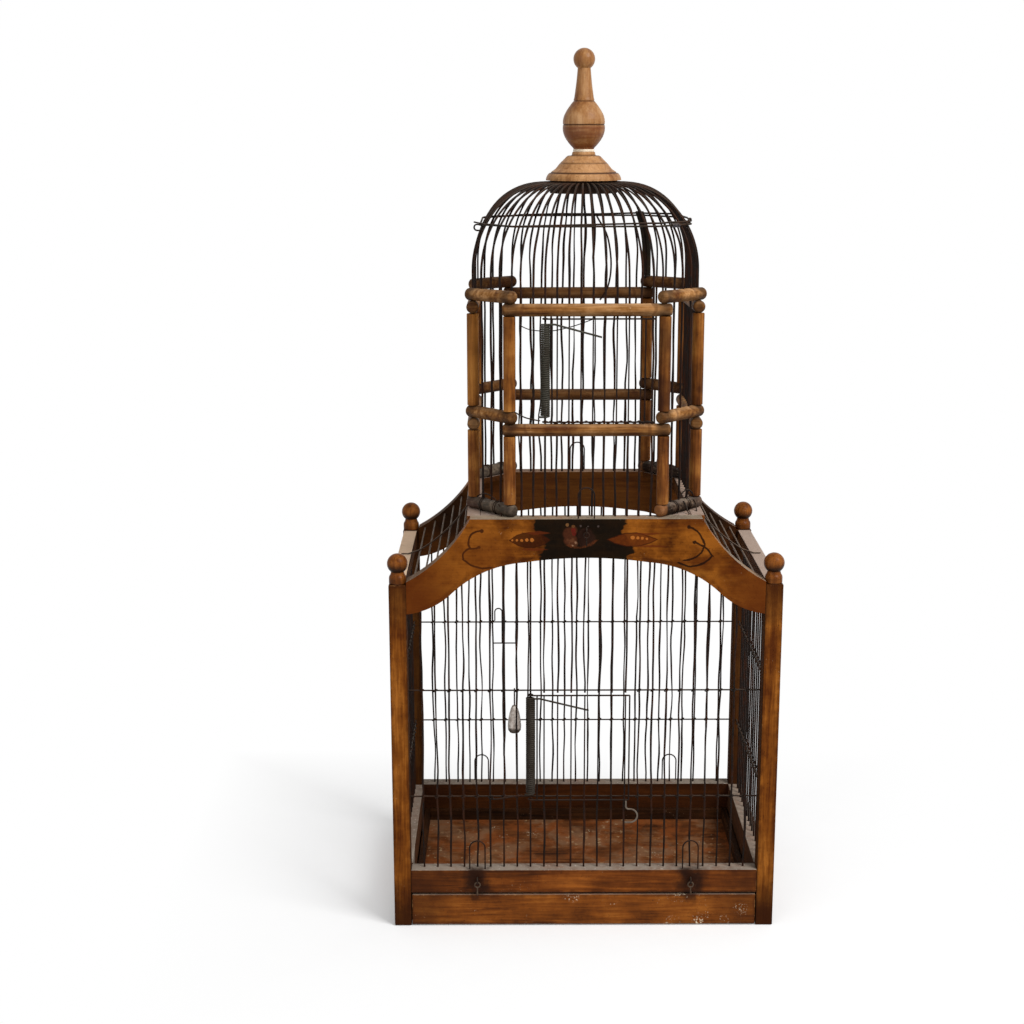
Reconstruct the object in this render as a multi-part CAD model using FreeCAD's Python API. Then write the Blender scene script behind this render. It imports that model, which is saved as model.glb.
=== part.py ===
import FreeCAD, Part
import math
import os

os.makedirs("parts", exist_ok=True)

# Bird cage: a square base with a sliding tray, a sloped roof, and an eight-sided domed tower.
# Millimetres, +Z up, front towards -Y, origin on the floor under the middle of the base.

# Base
BASE_WIDTH = 380.0
BASE_DEPTH = 242.0
POST_SIZE = 17.0
POST_HEIGHT = 355.0
RAIL_THICK = 16.0
RAIL_TOP = 60.0
FRONT_RAIL_BOTTOM = 35.5
EDGE_ROUND = 1.0
BALL_RADIUS = 10.0
BALL_CENTRE_Z = 374.6
BALL_NECK_RADIUS = 6.4

# Arched boards at the front and back of the roof
BOARD_THICK = 17.0
BOARD_TOP = 420.0
BOARD_FLAT_HALF = 111.0
BOARD_END_Z = 358.0
ARCH_SPRING_Z = 326.0
ARCH_CROWN_Z = 382.0

# Eaves and the two sills that carry the tower
EAVE_WIDTH = 14.0
EAVE_HEIGHT = 16.0
SILL_WIDTH = 13.0
SILL_HEIGHT = 14.0

# Tray
TRAY_FLOOR_TOP = 20.0
TRAY_FLOOR_THICK = 5.0
TRAY_WALL_TOP = 32.0
TRAY_WALL = 6.0
TRAY_FRONT_BOTTOM = 1.0
TRAY_FRONT_TOP = 33.5
TRAY_FRONT_THICK = 15.0
TRAY_GAP = 1.5
RUNNER_WIDTH = 12.0
RUNNER_HEIGHT = 7.0
RUNNER_GAP = 0.3

# Wires
BAR_RADIUS = 0.9
CROSS_RADIUS = 0.75
THIN_RADIUS = 0.7
HOLE_GAP = 0.05
HOLE_DEPTH = 8.0
FRONT_BAR_COUNT = 25
SIDE_BAR_COUNT = 15
CROSS_LEVELS = (134.6, 249.1)
FRONT_CROSS_LEVELS = (134.6, 245.5)
SIDE_CROSS_LIFT = 2.2
ROOF_WIRE_COUNT = 6
ROOF_WIRE_SINK = 3.5
ROOF_WIRE_FIRST = 0.2
ROOF_WIRE_STEP = 0.146

# Tower: rectangle with cut corners, rods stacked crosswise at each level
TOWER_FRONT_HALF = 73.0
TOWER_HALF_DEPTH = 108.5
TOWER_HALF_WIDTH = 108.0
TOWER_SIDE_HALF = 70.5
ROD_RADIUS = 6.0
ROD_OVERHANG = 6.5
ROD_END_ROUND = 3.0
TOWER_POST_RADIUS = 5.8
MID_ROD_Z = 504.0
TOP_ROD_Z = 617.6
TOP_RING_FALL = 4.8
TOWER_FRONT_BARS = 12
TOWER_SIDE_BARS = 11
TOWER_CORNER_BARS = 3

# Dome and finial
DOME_SPRING_Z = 650.0
DOME_TOP_Z = 730.6
DOME_INNER_RADIUS = 42.0
CROWN_RADIUS = 33.0
CROWN_BOTTOM = 721.0
CROWN_TOP = 733.3
HOOP_Z = 694.0
HOOP_CORNER = 14.0
STAY_WIDTH = 9.0
STAY_THICK = 2.0

# Doors and their coil springs
DOOR_WIRE = 0.8
DOOR_BAR = 0.7
EYE_RADIUS = 2.1
COIL_RADIUS = 3.8
COIL_WIRE = 0.7
LOWER_DOOR_HINGE_BAR = 8
LOWER_DOOR_BARS = 7
LOWER_DOOR_SPAN = 97.2
LOWER_DOOR_Z = (132.0, 241.2)
LOWER_COIL_Z = 138.5
LOWER_COIL_TURNS = 48
UPPER_DOOR_HINGE_BAR = 2
UPPER_DOOR_BARS = 8
UPPER_DOOR_SPAN = 94.0
UPPER_DOOR_Z = (511.8, 609.4)
UPPER_COIL_Z = 517.0
UPPER_COIL_TURNS = 42
COIL_PITCH = 2.08
PULL_LEAD = 6.0
PULL_INSET = 2.5

# Feeder arches and swinging hooks
ARCH_X = 8
ARCH_HALF = 7.7
ARCH_RISE = 30.0
ARCH_SETBACK = 2.8
EYE_DROP = 9.5
HOOK_EYE = 3.2
HOOK_RING = 2.6
HOOK_LINK_GAP = 0.15
HOOK_CURL = 2.2

# Derived planes and positions
HALF_W = BASE_WIDTH / 2
HALF_D = BASE_DEPTH / 2
IN_X = HALF_W - POST_SIZE
IN_Y = HALF_D - POST_SIZE
BAR_Y = HALF_D - BOARD_THICK / 2
SIDE_BAR_X = HALF_W - 9.0
FRONT_PITCH = 2 * IN_X / (FRONT_BAR_COUNT + 1)
SIDE_PITCH = 2 * IN_Y / (SIDE_BAR_COUNT + 1)
FRONT_BAR_X = [-IN_X + FRONT_PITCH * (i + 1) for i in range(FRONT_BAR_COUNT)]
SIDE_BAR_Y = [-IN_Y + SIDE_PITCH * (i + 1) for i in range(SIDE_BAR_COUNT)]
CROSS_OFFSET = BAR_RADIUS + CROSS_RADIUS + 0.02
UPPER_PITCH = 2 * TOWER_FRONT_HALF / (TOWER_FRONT_BARS + 1)
TOWER_BAR_X = [-TOWER_FRONT_HALF + UPPER_PITCH * (i + 1) for i in range(TOWER_FRONT_BARS)]
FOOT_ROD_Z = BOARD_TOP + ROD_RADIUS


def vec(x, y, z):
    return FreeCAD.Vector(x, y, z)


# Basic shapes

def box(x0, x1, y0, y1, z0, z1, rounding=EDGE_ROUND):
    """Block between two corners, with its edges eased."""
    block = Part.makeBox(x1 - x0, y1 - y0, z1 - z0, vec(x0, y0, z0))
    if rounding > 0:
        block = block.makeFillet(rounding, block.Edges)
    return block


def rod(start, end, radius):
    """Straight round bar between two points."""
    run = end - start
    return Part.makeCylinder(radius, run.Length, start, run)


def dowel(start, end, radius, rounding):
    """Turned rod with rounded ends."""
    bar = rod(start, end, radius)
    rims = [e for e in bar.Edges if isinstance(e.Curve, Part.Circle)]
    return bar.makeFillet(rounding, rims)


def line(start, end):
    return Part.LineSegment(start, end).toShape()


def arc(start, middle, end):
    return Part.Arc(start, middle, end).toShape()


def tube(edges, radius):
    """Round wire along a chain of lines and arcs."""
    path = Part.Wire(edges)
    first = edges[0]
    begin = first.valueAt(first.FirstParameter)
    heading = first.tangentAt(first.FirstParameter)
    ring = Part.Wire(Part.Circle(begin, heading, radius).toShape())
    return path.makePipeShell([ring], True, False)


def drilled(shape, cutters):
    """Cut every hole that reaches the shape."""
    near = [c for c in cutters if c.BoundBox.intersect(shape.BoundBox)]
    return shape.cut(near) if near else shape


def hole(start, end, radius):
    return rod(start, end, radius + HOLE_GAP)


def save(name, shapes):
    """Write one node, a single solid or a group of separate solids."""
    solids = shapes if isinstance(shapes, list) else [shapes]
    node = solids[0] if len(solids) == 1 else Part.makeCompound(solids)
    node.exportStep("parts/" + name + ".step")


def mirror_x(shape):
    return shape.mirror(vec(0, 0, 0), vec(1, 0, 0))


def mirror_y(shape):
    return shape.mirror(vec(0, 0, 0), vec(0, 1, 0))


# Curves of the arched boards

def circle_through(a, b, c):
    """Centre and radius, in the X-Z plane, of the circle through three points."""
    (ax, az), (bx, bz), (cx, cz) = a, b, c
    d = 2 * (ax * (bz - cz) + bx * (cz - az) + cx * (az - bz))
    a2, b2, c2 = ax * ax + az * az, bx * bx + bz * bz, cx * cx + cz * cz
    ux = (a2 * (bz - cz) + b2 * (cz - az) + c2 * (az - bz)) / d
    uz = (a2 * (cx - bx) + b2 * (ax - cx) + c2 * (bx - ax)) / d
    return ux, uz, math.hypot(ax - ux, az - uz)


HAUNCH = ((IN_X, ARCH_SPRING_Z), (150.0, 332.5), (128.0, 348.0))
SHOULDER = ((128.0, 348.0), (101.0, 366.5), (60.0, 377.5))
CROWN = ((60.0, 377.5), (0.0, ARCH_CROWN_Z), (-60.0, 377.5))
SLOPE = ((BOARD_FLAT_HALF, BOARD_TOP), (138.5, 383.5), (IN_X, BOARD_END_Z))


def arch_height(x):
    """Height of the board's arched lower edge at a given X."""
    x = abs(x)
    if x <= CROWN[0][0]:
        ux, uz, r = circle_through(*CROWN)
        return uz + math.sqrt(r * r - (x - ux) ** 2)
    if x <= SHOULDER[0][0]:
        ux, uz, r = circle_through(*SHOULDER)
        return uz + math.sqrt(r * r - (x - ux) ** 2)
    ux, uz, r = circle_through(*HAUNCH)
    return uz - math.sqrt(r * r - (x - ux) ** 2)


def slope_point(fraction, sink):
    """Point a set depth under the board's sloped edge, from the top (0) to the post (1)."""
    ux, uz, r = circle_through(*SLOPE)
    first = math.atan2(SLOPE[0][1] - uz, SLOPE[0][0] - ux)
    last = math.atan2(SLOPE[2][1] - uz, SLOPE[2][0] - ux)
    turn = (last - first + math.pi) % (2 * math.pi) - math.pi
    angle = first + turn * fraction
    return ux + (r + sink) * math.cos(angle), uz + (r + sink) * math.sin(angle)


def arch_board():
    """Front board: arched below, flat on top, hollow-curved shoulders down to the posts."""
    def at(p, side):
        return vec(p[0] * side, -HALF_D, p[1])

    edges = [arc(at(HAUNCH[0], -1), at(HAUNCH[1], -1), at(HAUNCH[2], -1))]
    edges.append(arc(at(SHOULDER[0], -1), at(SHOULDER[1], -1), at(SHOULDER[2], -1)))
    edges.append(arc(at(CROWN[2], 1), at(CROWN[1], 1), at(CROWN[0], 1)))
    edges.append(arc(at(SHOULDER[2], 1), at(SHOULDER[1], 1), at(SHOULDER[0], 1)))
    edges.append(arc(at(HAUNCH[2], 1), at(HAUNCH[1], 1), at(HAUNCH[0], 1)))
    edges.append(line(at(HAUNCH[0], 1), at(SLOPE[2], 1)))
    edges.append(arc(at(SLOPE[2], 1), at(SLOPE[1], 1), at(SLOPE[0], 1)))
    edges.append(line(at(SLOPE[0], 1), at(SLOPE[0], -1)))
    edges.append(arc(at(SLOPE[0], -1), at(SLOPE[1], -1), at(SLOPE[2], -1)))
    edges.append(line(at(SLOPE[2], -1), at(HAUNCH[0], -1)))
    return Part.Face(Part.Wire(edges)).extrude(vec(0, BOARD_THICK, 0))


# Wires of the base

def base_bars(cut_low=None, cut_high=None):
    """Straight upright bars of the front wall, some cut away between two heights for a door."""
    bars = []
    for i, x in enumerate(FRONT_BAR_X):
        low = vec(x, -BAR_Y, RAIL_TOP - HOLE_DEPTH)
        high = vec(x, -BAR_Y, arch_height(x) + HOLE_DEPTH)
        in_door = LOWER_DOOR_HINGE_BAR < i <= LOWER_DOOR_HINGE_BAR + LOWER_DOOR_BARS
        if cut_low is not None and in_door:
            bars.append(rod(low, vec(x, -BAR_Y, cut_low), BAR_RADIUS))
            bars.append(rod(vec(x, -BAR_Y, cut_high), high, BAR_RADIUS))
        else:
            bars.append(rod(low, high, BAR_RADIUS))
    return bars


def base_bar_holes():
    holes = []
    for x in FRONT_BAR_X:
        holes.append(hole(vec(x, -BAR_Y, RAIL_TOP - HOLE_DEPTH), vec(x, -BAR_Y, RAIL_TOP + 5), BAR_RADIUS))
        top = arch_height(x)
        holes.append(hole(vec(x, -BAR_Y, top - 25), vec(x, -BAR_Y, top + HOLE_DEPTH), BAR_RADIUS))
    return holes


def side_bar(y, radius, extra):
    low = vec(-SIDE_BAR_X, y, RAIL_TOP - HOLE_DEPTH)
    high = vec(-SIDE_BAR_X, y, POST_HEIGHT - EAVE_HEIGHT + HOLE_DEPTH)
    return rod(low, high, radius + extra)


def front_cross(z, extra):
    reach = IN_X + HOLE_DEPTH
    y = -BAR_Y + CROSS_OFFSET
    return rod(vec(-reach, y, z), vec(reach, y, z), CROSS_RADIUS + extra)


def side_cross(z, extra):
    reach = IN_Y + HOLE_DEPTH
    x = -SIDE_BAR_X + CROSS_OFFSET
    z += SIDE_CROSS_LIFT
    return rod(vec(x, -reach, z), vec(x, reach, z), CROSS_RADIUS + extra)


def roof_wire(i, extra):
    """One roof wire from board to board, on the left slope."""
    x, z = slope_point(ROOF_WIRE_FIRST + ROOF_WIRE_STEP * i, ROOF_WIRE_SINK)
    reach = HALF_D - BOARD_THICK + HOLE_DEPTH
    return rod(vec(-x, -reach, z), vec(-x, reach, z), BAR_RADIUS + extra)


def slope_wire():
    """Stiffening wire lying across the roof wires, its foot turned flat onto the eave."""
    lift = ROOF_WIRE_SINK - BAR_RADIUS - CROSS_RADIUS - 0.02
    top = slope_point(0.15, lift)
    mid = slope_point(0.5, lift)
    low = slope_point(0.93, lift)
    foot_z = POST_HEIGHT + CROSS_RADIUS
    a, b, c = [vec(-p[0], 0, p[1]) for p in (top, mid, low)]
    foot = vec(-HALF_W + 5.0, 0, foot_z)
    knee = vec(-HALF_W + 12.0, 0, foot_z)
    return tube([arc(a, b, c), line(c, knee), line(knee, foot)], CROSS_RADIUS)


# Tower

VERTICES = [
    (-TOWER_FRONT_HALF, -TOWER_HALF_DEPTH),
    (TOWER_FRONT_HALF, -TOWER_HALF_DEPTH),
    (TOWER_HALF_WIDTH, -TOWER_SIDE_HALF),
    (TOWER_HALF_WIDTH, TOWER_SIDE_HALF),
    (TOWER_FRONT_HALF, TOWER_HALF_DEPTH),
    (-TOWER_FRONT_HALF, TOWER_HALF_DEPTH),
    (-TOWER_HALF_WIDTH, TOWER_SIDE_HALF),
    (-TOWER_HALF_WIDTH, -TOWER_SIDE_HALF),
]


def ring_drop(y, fall):
    """How far a ring that falls towards the back has come down at a given Y."""
    return fall * (y + TOWER_HALF_DEPTH) / (2 * TOWER_HALF_DEPTH)


def tower_rod(i, z, fall):
    """Rod along side i of the eight-sided plan, running past both corners."""
    (ax, ay), (bx, by) = VERTICES[i], VERTICES[(i + 1) % 8]
    a = vec(ax, ay, z - ring_drop(ay, fall))
    b = vec(bx, by, z - ring_drop(by, fall))
    out = (b - a).normalize() * ROD_OVERHANG
    return dowel(a - out, b + out, ROD_RADIUS, ROD_END_ROUND)


def tower_level(z, fall=0.0):
    """Main rods at one height with the corner rods lying on top of them."""
    lift = 2 * ROD_RADIUS + (0.02 if fall else 0.0)
    return [tower_rod(i, z if i % 2 == 0 else z + lift, fall) for i in range(8)]


def tower_posts(low, high, fall=0.0):
    posts = []
    for x, y in VERTICES:
        gap = 0.25 if fall and abs(x) > TOWER_FRONT_HALF + 1 else 0.0
        top = high - ring_drop(y, fall) - gap
        posts.append(dowel(vec(x, y, low), vec(x, y, top), TOWER_POST_RADIUS, 0.8))
    return posts


def face_points(i, count):
    """Evenly spaced bar feet along side i."""
    (ax, ay), (bx, by) = VERTICES[i], VERTICES[(i + 1) % 8]
    step = [(k + 1) / (count + 1) for k in range(count)]
    return [(ax + (bx - ax) * t, ay + (by - ay) * t) for t in step]


FACE_COUNTS = [TOWER_FRONT_BARS if i % 4 == 0 else TOWER_SIDE_BARS if i % 4 == 2 else TOWER_CORNER_BARS
               for i in range(8)]


def dome_arcs(base_radius):
    """Two tangent arcs, in (radius, height), from upright at the tower to level at the crown."""
    a = base_radius - DOME_INNER_RADIUS
    b = DOME_TOP_Z - DOME_SPRING_Z
    d = (-(a + b) + math.sqrt((a + b) ** 2 + 2 * (a * a + b * b))) / 2
    joint_r = (base_radius + DOME_INNER_RADIUS + d) / 2
    joint_z = (DOME_SPRING_Z + d + DOME_TOP_Z) / 2
    u, w = base_radius - joint_r, joint_z - DOME_SPRING_Z
    r1 = (u * u + w * w) / (2 * u)
    p, q = joint_r - DOME_INNER_RADIUS, DOME_TOP_Z - joint_z
    r2 = (p * p + q * q) / (2 * q)
    return joint_r, joint_z, r1, r2


def dome_radius(base_radius, z):
    """Distance of a dome wire from the axis at a given height."""
    joint_r, joint_z, r1, r2 = dome_arcs(base_radius)
    if z <= joint_z:
        return base_radius - r1 + math.sqrt(r1 * r1 - (z - DOME_SPRING_Z) ** 2)
    return DOME_INNER_RADIUS + math.sqrt(r2 * r2 - (z - DOME_TOP_Z + r2) ** 2)


def dome_wire(x, y, low):
    """Tower bar that rises straight, bends over the dome and ends inside the crown block."""
    base = math.hypot(x, y)
    ux, uy = x / base, y / base
    joint_r, joint_z, r1, r2 = dome_arcs(base)

    def at(r, z):
        return vec(ux * r, uy * r, z)

    half1 = math.asin((joint_z - DOME_SPRING_Z) / r1) / 2
    mid1 = at(base - r1 + r1 * math.cos(half1), DOME_SPRING_Z + r1 * math.sin(half1))
    half2 = math.asin((joint_r - DOME_INNER_RADIUS) / r2) / 2
    mid2 = at(DOME_INNER_RADIUS + r2 * math.sin(half2), DOME_TOP_Z - r2 + r2 * math.cos(half2))
    spring, joint = at(base, DOME_SPRING_Z), at(joint_r, joint_z)
    level, end = at(DOME_INNER_RADIUS, DOME_TOP_Z), at(CROWN_RADIUS - 6.0, DOME_TOP_Z)
    return tube([line(at(base, low), spring), arc(spring, mid1, joint), arc(joint, mid2, level),
                 line(level, end)], BAR_RADIUS)


def tower_face_bars(i):
    """All bars of one side; on the front some are cut out for the upper door."""
    bars = []
    low = BOARD_TOP - HOLE_DEPTH if i % 2 == 0 else FOOT_ROD_Z - 4.0
    for k, (x, y) in enumerate(face_points(i, FACE_COUNTS[i])):
        if i == 0 and UPPER_DOOR_HINGE_BAR < k <= UPPER_DOOR_HINGE_BAR + UPPER_DOOR_BARS:
            bars.append(rod(vec(x, y, low), vec(x, y, MID_ROD_Z + ROD_RADIUS + 1.5), BAR_RADIUS))
            bars.append(dome_wire(x, y, TOP_ROD_Z - ROD_RADIUS - 1.5))
        else:
            bars.append(dome_wire(x, y, low))
    return bars


def tower_holes():
    """Holes for the tower bars and the corner pins through rods, posts, sills and boards."""
    holes = []
    for i in range(8):
        low = BOARD_TOP - HOLE_DEPTH if i % 2 == 0 else FOOT_ROD_Z - 4.0
        for x, y in face_points(i, FACE_COUNTS[i]):
            holes.append(hole(vec(x, y, low), vec(x, y, DOME_SPRING_Z), BAR_RADIUS))
    for x, y in VERTICES:
        top = TOP_ROD_Z + 15.0 - ring_drop(y, TOP_RING_FALL)
        holes.append(hole(vec(x, y, BOARD_TOP - HOLE_DEPTH), vec(x, y, top), BAR_RADIUS))
    return holes


def crown_holes():
    holes = []
    for i in range(8):
        for x, y in face_points(i, FACE_COUNTS[i]):
            base = math.hypot(x, y)
            inner = vec(x / base * (CROWN_RADIUS - 6.0), y / base * (CROWN_RADIUS - 6.0), DOME_TOP_Z)
            outer = vec(x / base * (CROWN_RADIUS + 4.0), y / base * (CROWN_RADIUS + 4.0), DOME_TOP_Z)
            holes.append(hole(inner, outer, BAR_RADIUS))
    return holes


def corner_pins():
    pins = []
    for x, y in VERTICES:
        top = TOP_ROD_Z + 14.0 - ring_drop(y, TOP_RING_FALL)
        pins.append(rod(vec(x, y, BOARD_TOP - HOLE_DEPTH), vec(x, y, top), BAR_RADIUS))
    return pins


def dome_hoop():
    """Wire ring laid round the outside of the dome wires, with rounded corners."""
    normals, offsets = [], []
    for i in range(8):
        (ax, ay), (bx, by) = VERTICES[i], VERTICES[(i + 1) % 8]
        span = math.hypot(bx - ax, by - ay)
        nx, ny = (by - ay) / span, -(bx - ax) / span
        reach = 0.0
        for x, y in face_points(i, FACE_COUNTS[i]):
            scale = dome_radius(math.hypot(x, y), HOOP_Z - 2.0) / math.hypot(x, y)
            reach = max(reach, (nx * x + ny * y) * scale)
        normals.append((nx, ny))
        offsets.append(reach + 2 * BAR_RADIUS + 0.1)
    corners = []
    for i in range(8):
        (ax, ay), (bx, by) = normals[i - 1], normals[i]
        det = ax * by - ay * bx
        corners.append(vec((offsets[i - 1] * by - offsets[i] * ay) / det,
                           (ax * offsets[i] - bx * offsets[i - 1]) / det, HOOP_Z))
    edges = []
    ends = []
    for i, corner in enumerate(corners):
        back = (corners[i - 1] - corner).normalize()
        ahead = (corners[(i + 1) % 8] - corner).normalize()
        half = back.getAngle(ahead) / 2
        trim = HOOP_CORNER / math.tan(half)
        bisector = (back + ahead).normalize()
        middle = corner + bisector * (HOOP_CORNER / math.sin(half) - HOOP_CORNER)
        ends.append((corner + back * trim, middle, corner + ahead * trim))
    for i in range(8):
        edges.append(arc(*ends[i]))
        edges.append(line(ends[i][2], ends[(i + 1) % 8][0]))
    return tube(edges, BAR_RADIUS)


def dome_stay():
    """Flat strip from the back right corner rod up to the hoop, inside the wires."""
    x, y = VERTICES[4]
    base = math.hypot(x, y)
    ux, uy = x / base, y / base
    inner = base - 3.0
    low = TOP_ROD_Z + 3 * ROD_RADIUS + 0.2 - ring_drop(y * inner / base, TOP_RING_FALL)
    high = HOOP_Z + 4.0

    def at(r, z):
        return vec(ux * r, uy * r, z)

    heights = [DOME_SPRING_Z, (DOME_SPRING_Z + high) / 2, high]
    curve = [at(dome_radius(inner, z), z) for z in heights]
    path = Part.Wire([line(at(inner, low), curve[0]), arc(curve[0], curve[1], curve[2])])
    side = vec(-uy, ux, 0) * (STAY_WIDTH / 2)
    out = vec(ux, uy, 0) * (STAY_THICK / 2)
    foot = at(inner, low)
    corners = [foot + side + out, foot - side + out, foot - side - out, foot + side - out]
    profile = Part.makePolygon(corners + [corners[0]])
    return path.makePipeShell([profile], True, False)


def turned(points):
    """Solid of revolution round the Z axis from (radius, height) points joined by lines."""
    outline = [vec(r, 0, z) for r, z in points]
    face = Part.Face(Part.makePolygon(outline + [outline[0]]))
    return face.revolve(vec(0, 0, 0), vec(0, 0, 1), 360)


def swell(r0, z0, r1, z1, bulge, steps):
    """Points of a smooth bulging curve between two turned diameters."""
    points = []
    for k in range(1, steps):
        t = k / steps
        points.append((r0 + (r1 - r0) * t + bulge * math.sin(math.pi * t), z0 + (z1 - z0) * t))
    return points


def finial_cap():
    """Stepped cone that covers the crown block."""
    z = CROWN_TOP
    profile = [(0, z), (37.0, z), (36.7, z + 2.0), (35.8, z + 4.2), (34.5, z + 6.0), (33.4, z + 6.8)]
    profile += [(32.2, z + 6.9), (32.0, z + 7.6), (31.0, z + 8.4), (29.2, z + 9.6), (27.6, z + 10.8)]
    profile += [(25.6, z + 13.2), (23.5, z + 15.9), (22.8, z + 16.1), (22.6, z + 16.8), (20.6, z + 18.6)]
    profile += [(18.4, z + 20.8), (16.8, z + 22.5), (15.4, z + 23.4), (12.2, z + 23.7), (11.5, z + 24.4)]
    profile += [(11.0, z + 27.0), (0, z + 27.0)]
    return turned(profile)


def cap_washer():
    z = CROWN_TOP + 27.0
    return turned([(0, z), (10.0, z), (10.4, z + 1.2), (10.0, z + 2.6), (0, z + 2.6)])


def spire_finial():
    """Grooved globe, tapered neck and top ball, turned from one piece."""
    z = CROWN_TOP + 29.6
    profile = [(0, z), (9.9, z), (10.4, z + 1.2), (12.4, z + 3.2), (14.8, z + 6.0), (16.9, z + 8.9)]
    profile += [(18.6, z + 11.7), (19.7, z + 14.6), (20.4, z + 17.4), (20.6, z + 20.2), (20.4, z + 22.6)]
    profile += [(19.8, z + 23.3), (20.4, z + 24.0), (20.5, z + 26.0), (20.2, z + 28.8), (19.4, z + 31.7)]
    profile += [(18.1, z + 34.5), (16.5, z + 37.3), (14.5, z + 40.2), (12.4, z + 43.0), (10.9, z + 44.9)]
    profile += [(9.9, z + 45.7), (10.1, z + 46.7), (9.5, z + 48.9)]
    neck_r, ball_r, ball = 6.3, 10.5, z + 85.1
    neck_top = ball - math.sqrt(ball_r ** 2 - neck_r ** 2)
    profile += swell(9.5, z + 48.9, neck_r, neck_top, -0.3, 8)
    start = math.asin(neck_r / ball_r)
    for k in range(0, 17):
        t = start + (math.pi - start) * k / 16
        profile.append((ball_r * math.sin(t) if k < 16 else 0, ball - ball_r * math.cos(t)))
    return turned(profile)


def corner_ball(x, y):
    """Ball finial on a short round foot, standing on a corner post."""
    z = POST_HEIGHT
    profile = [(0, z), (8.1, z), (8.4, z + 1.0), (8.4, z + 5.4), (8.1, z + 7.2), (7.0, z + 9.0)]
    start = math.asin(BALL_NECK_RADIUS / BALL_RADIUS)
    profile.append((BALL_NECK_RADIUS, BALL_CENTRE_Z - BALL_RADIUS * math.cos(start) - 0.8))
    for k in range(0, 17):
        t = start + (math.pi - start) * k / 16
        profile.append((BALL_RADIUS * math.sin(t) if k < 16 else 0,
                        BALL_CENTRE_Z - BALL_RADIUS * math.cos(t)))
    ball = turned(profile)
    ball.translate(vec(x, y, 0))
    return ball


# Doors and springs

def door_rail(hinge, plane, end_x, z):
    """Cross wire of a door, its left end curled round the hinge bar as an eye."""
    centre = vec(hinge.x, hinge.y, z)
    start = vec(hinge.x, plane, z)

    def on_eye(degrees):
        a = math.radians(-90 - degrees)
        return centre + vec(math.cos(a), math.sin(a), 0) * EYE_RADIUS

    return tube([line(vec(end_x, plane, z), start), arc(start, on_eye(75), on_eye(150)),
                 arc(on_eye(150), on_eye(220), on_eye(290))], DOOR_WIRE)


def door_grille(hinge, span, reach, bars, pitch, heights):
    """Wire door: two cross wires with hinge eyes, two uprights and the thin bars between."""
    plane = hinge.y - EYE_RADIUS
    low, high = heights
    right = hinge.x + span
    grille = door_rail(hinge, plane, right + reach, low)
    grille = grille.fuse(door_rail(hinge, plane, right + reach, high))
    uprights = [hinge.x + 6.4, right]
    inner = [hinge.x + pitch * (k + 1) for k in range(bars)]
    for x in uprights:
        grille = grille.fuse(rod(vec(x, plane, low), vec(x, plane, high), DOOR_WIRE - 0.03))
    for x in inner:
        if x < right - 3:
            grille = grille.fuse(rod(vec(x, plane, low), vec(x, plane, high), DOOR_BAR))
    return grille


def biarc(p0, t0, p1, t1):
    """Two tangent arcs that leave p0 along t0 and reach p1 along t1."""
    v = p1 - p0
    s = t0 + t1
    a = 2 * (t0.dot(t1) - 1)
    b = -2 * v.dot(s)
    c = v.dot(v)
    d = c / (2 * v.dot(s)) if abs(a) < 1e-9 else (-b - math.sqrt(b * b - 4 * a * c)) / (2 * a)
    joint = (p0 + t0 * d + p1 - t1 * d) * 0.5

    def half(p, t, q):
        chord = q - p
        along = chord.normalize()
        length = (q - p).Length
        lift = t - along * t.dot(along)
        angle = t.getAngle(q - p)
        middle = p + (q - p) * 0.5 + lift.normalize() * (length / 2 * math.tan(angle / 2))
        return arc(p, middle, q)

    return [half(p0, t0, joint), half(p1, t1 * -1, joint)]


def coil_spring(hinge, low, turns, tail_x, tail_drop):
    """Close wound spring round a hinge bar; its upper tail lies across the front of the door."""
    def on_helix(k):
        a = -math.pi / 2 + k * math.pi
        return vec(hinge.x + COIL_RADIUS * math.cos(a), hinge.y + COIL_RADIUS * math.sin(a),
                   low + COIL_PITCH * k / 2)

    def heading(k):
        a = -math.pi / 2 + k * math.pi
        t = vec(-COIL_RADIUS * math.sin(a), COIL_RADIUS * math.cos(a), COIL_PITCH / (2 * math.pi))
        return t.normalize()

    edges = [line(on_helix(0) - heading(0) * 6.0, on_helix(0))]
    halves = 2 * turns
    for k in range(halves):
        edges += biarc(on_helix(k), heading(k), on_helix(k + 1), heading(k + 1))
    leave = on_helix(halves)
    drop = vec(tail_x, 0, -tail_drop).normalize()
    bend = leave + vec(9.0, 0, 0.1)
    edges += biarc(leave, heading(halves), bend, drop)
    edges.append(line(bend, bend + drop * math.hypot(tail_x, tail_drop)))
    return tube(edges, COIL_WIRE), edges


def least_gap(edges, wire_radius):
    """Smallest clear distance between parts of one wire that aren't next to each other."""
    points = []
    for e in edges:
        points += e.discretize(Number=7)[:-1]
    least = 1e9
    skip = 14
    for i in range(len(points)):
        for j in range(i + skip, min(i + 90, len(points))):
            least = min(least, (points[i] - points[j]).Length)
    return least - 2 * wire_radius


def pull_loop(hinge, span, low):
    """Curled finger loop under the door's free corner."""
    plane = hinge.y - EYE_RADIUS
    x = hinge.x + span - PULL_INSET
    z = low - DOOR_WIRE - 0.03
    bend, curl = 3.0, 7.0
    slant = math.sqrt(0.5)

    def at(dx, dz):
        return vec(x + dx, plane, z + dz)

    low, far = -PULL_LEAD - bend, bend + 1.5
    lead = line(at(0, 0), at(0, -PULL_LEAD))
    turn = arc(at(0, -PULL_LEAD), at(bend - bend * slant, -PULL_LEAD - bend * slant), at(bend, low))
    flat = line(at(bend, low), at(far, low))
    loop = arc(at(far, low), at(far + curl, low - curl), at(far, low - 2 * curl))
    tail = line(at(far, low - 2 * curl), at(-1.0, low - 2 * curl))
    return tube([lead, turn, flat, loop, tail], DOOR_WIRE)


# Feeder arches and hooks

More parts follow.
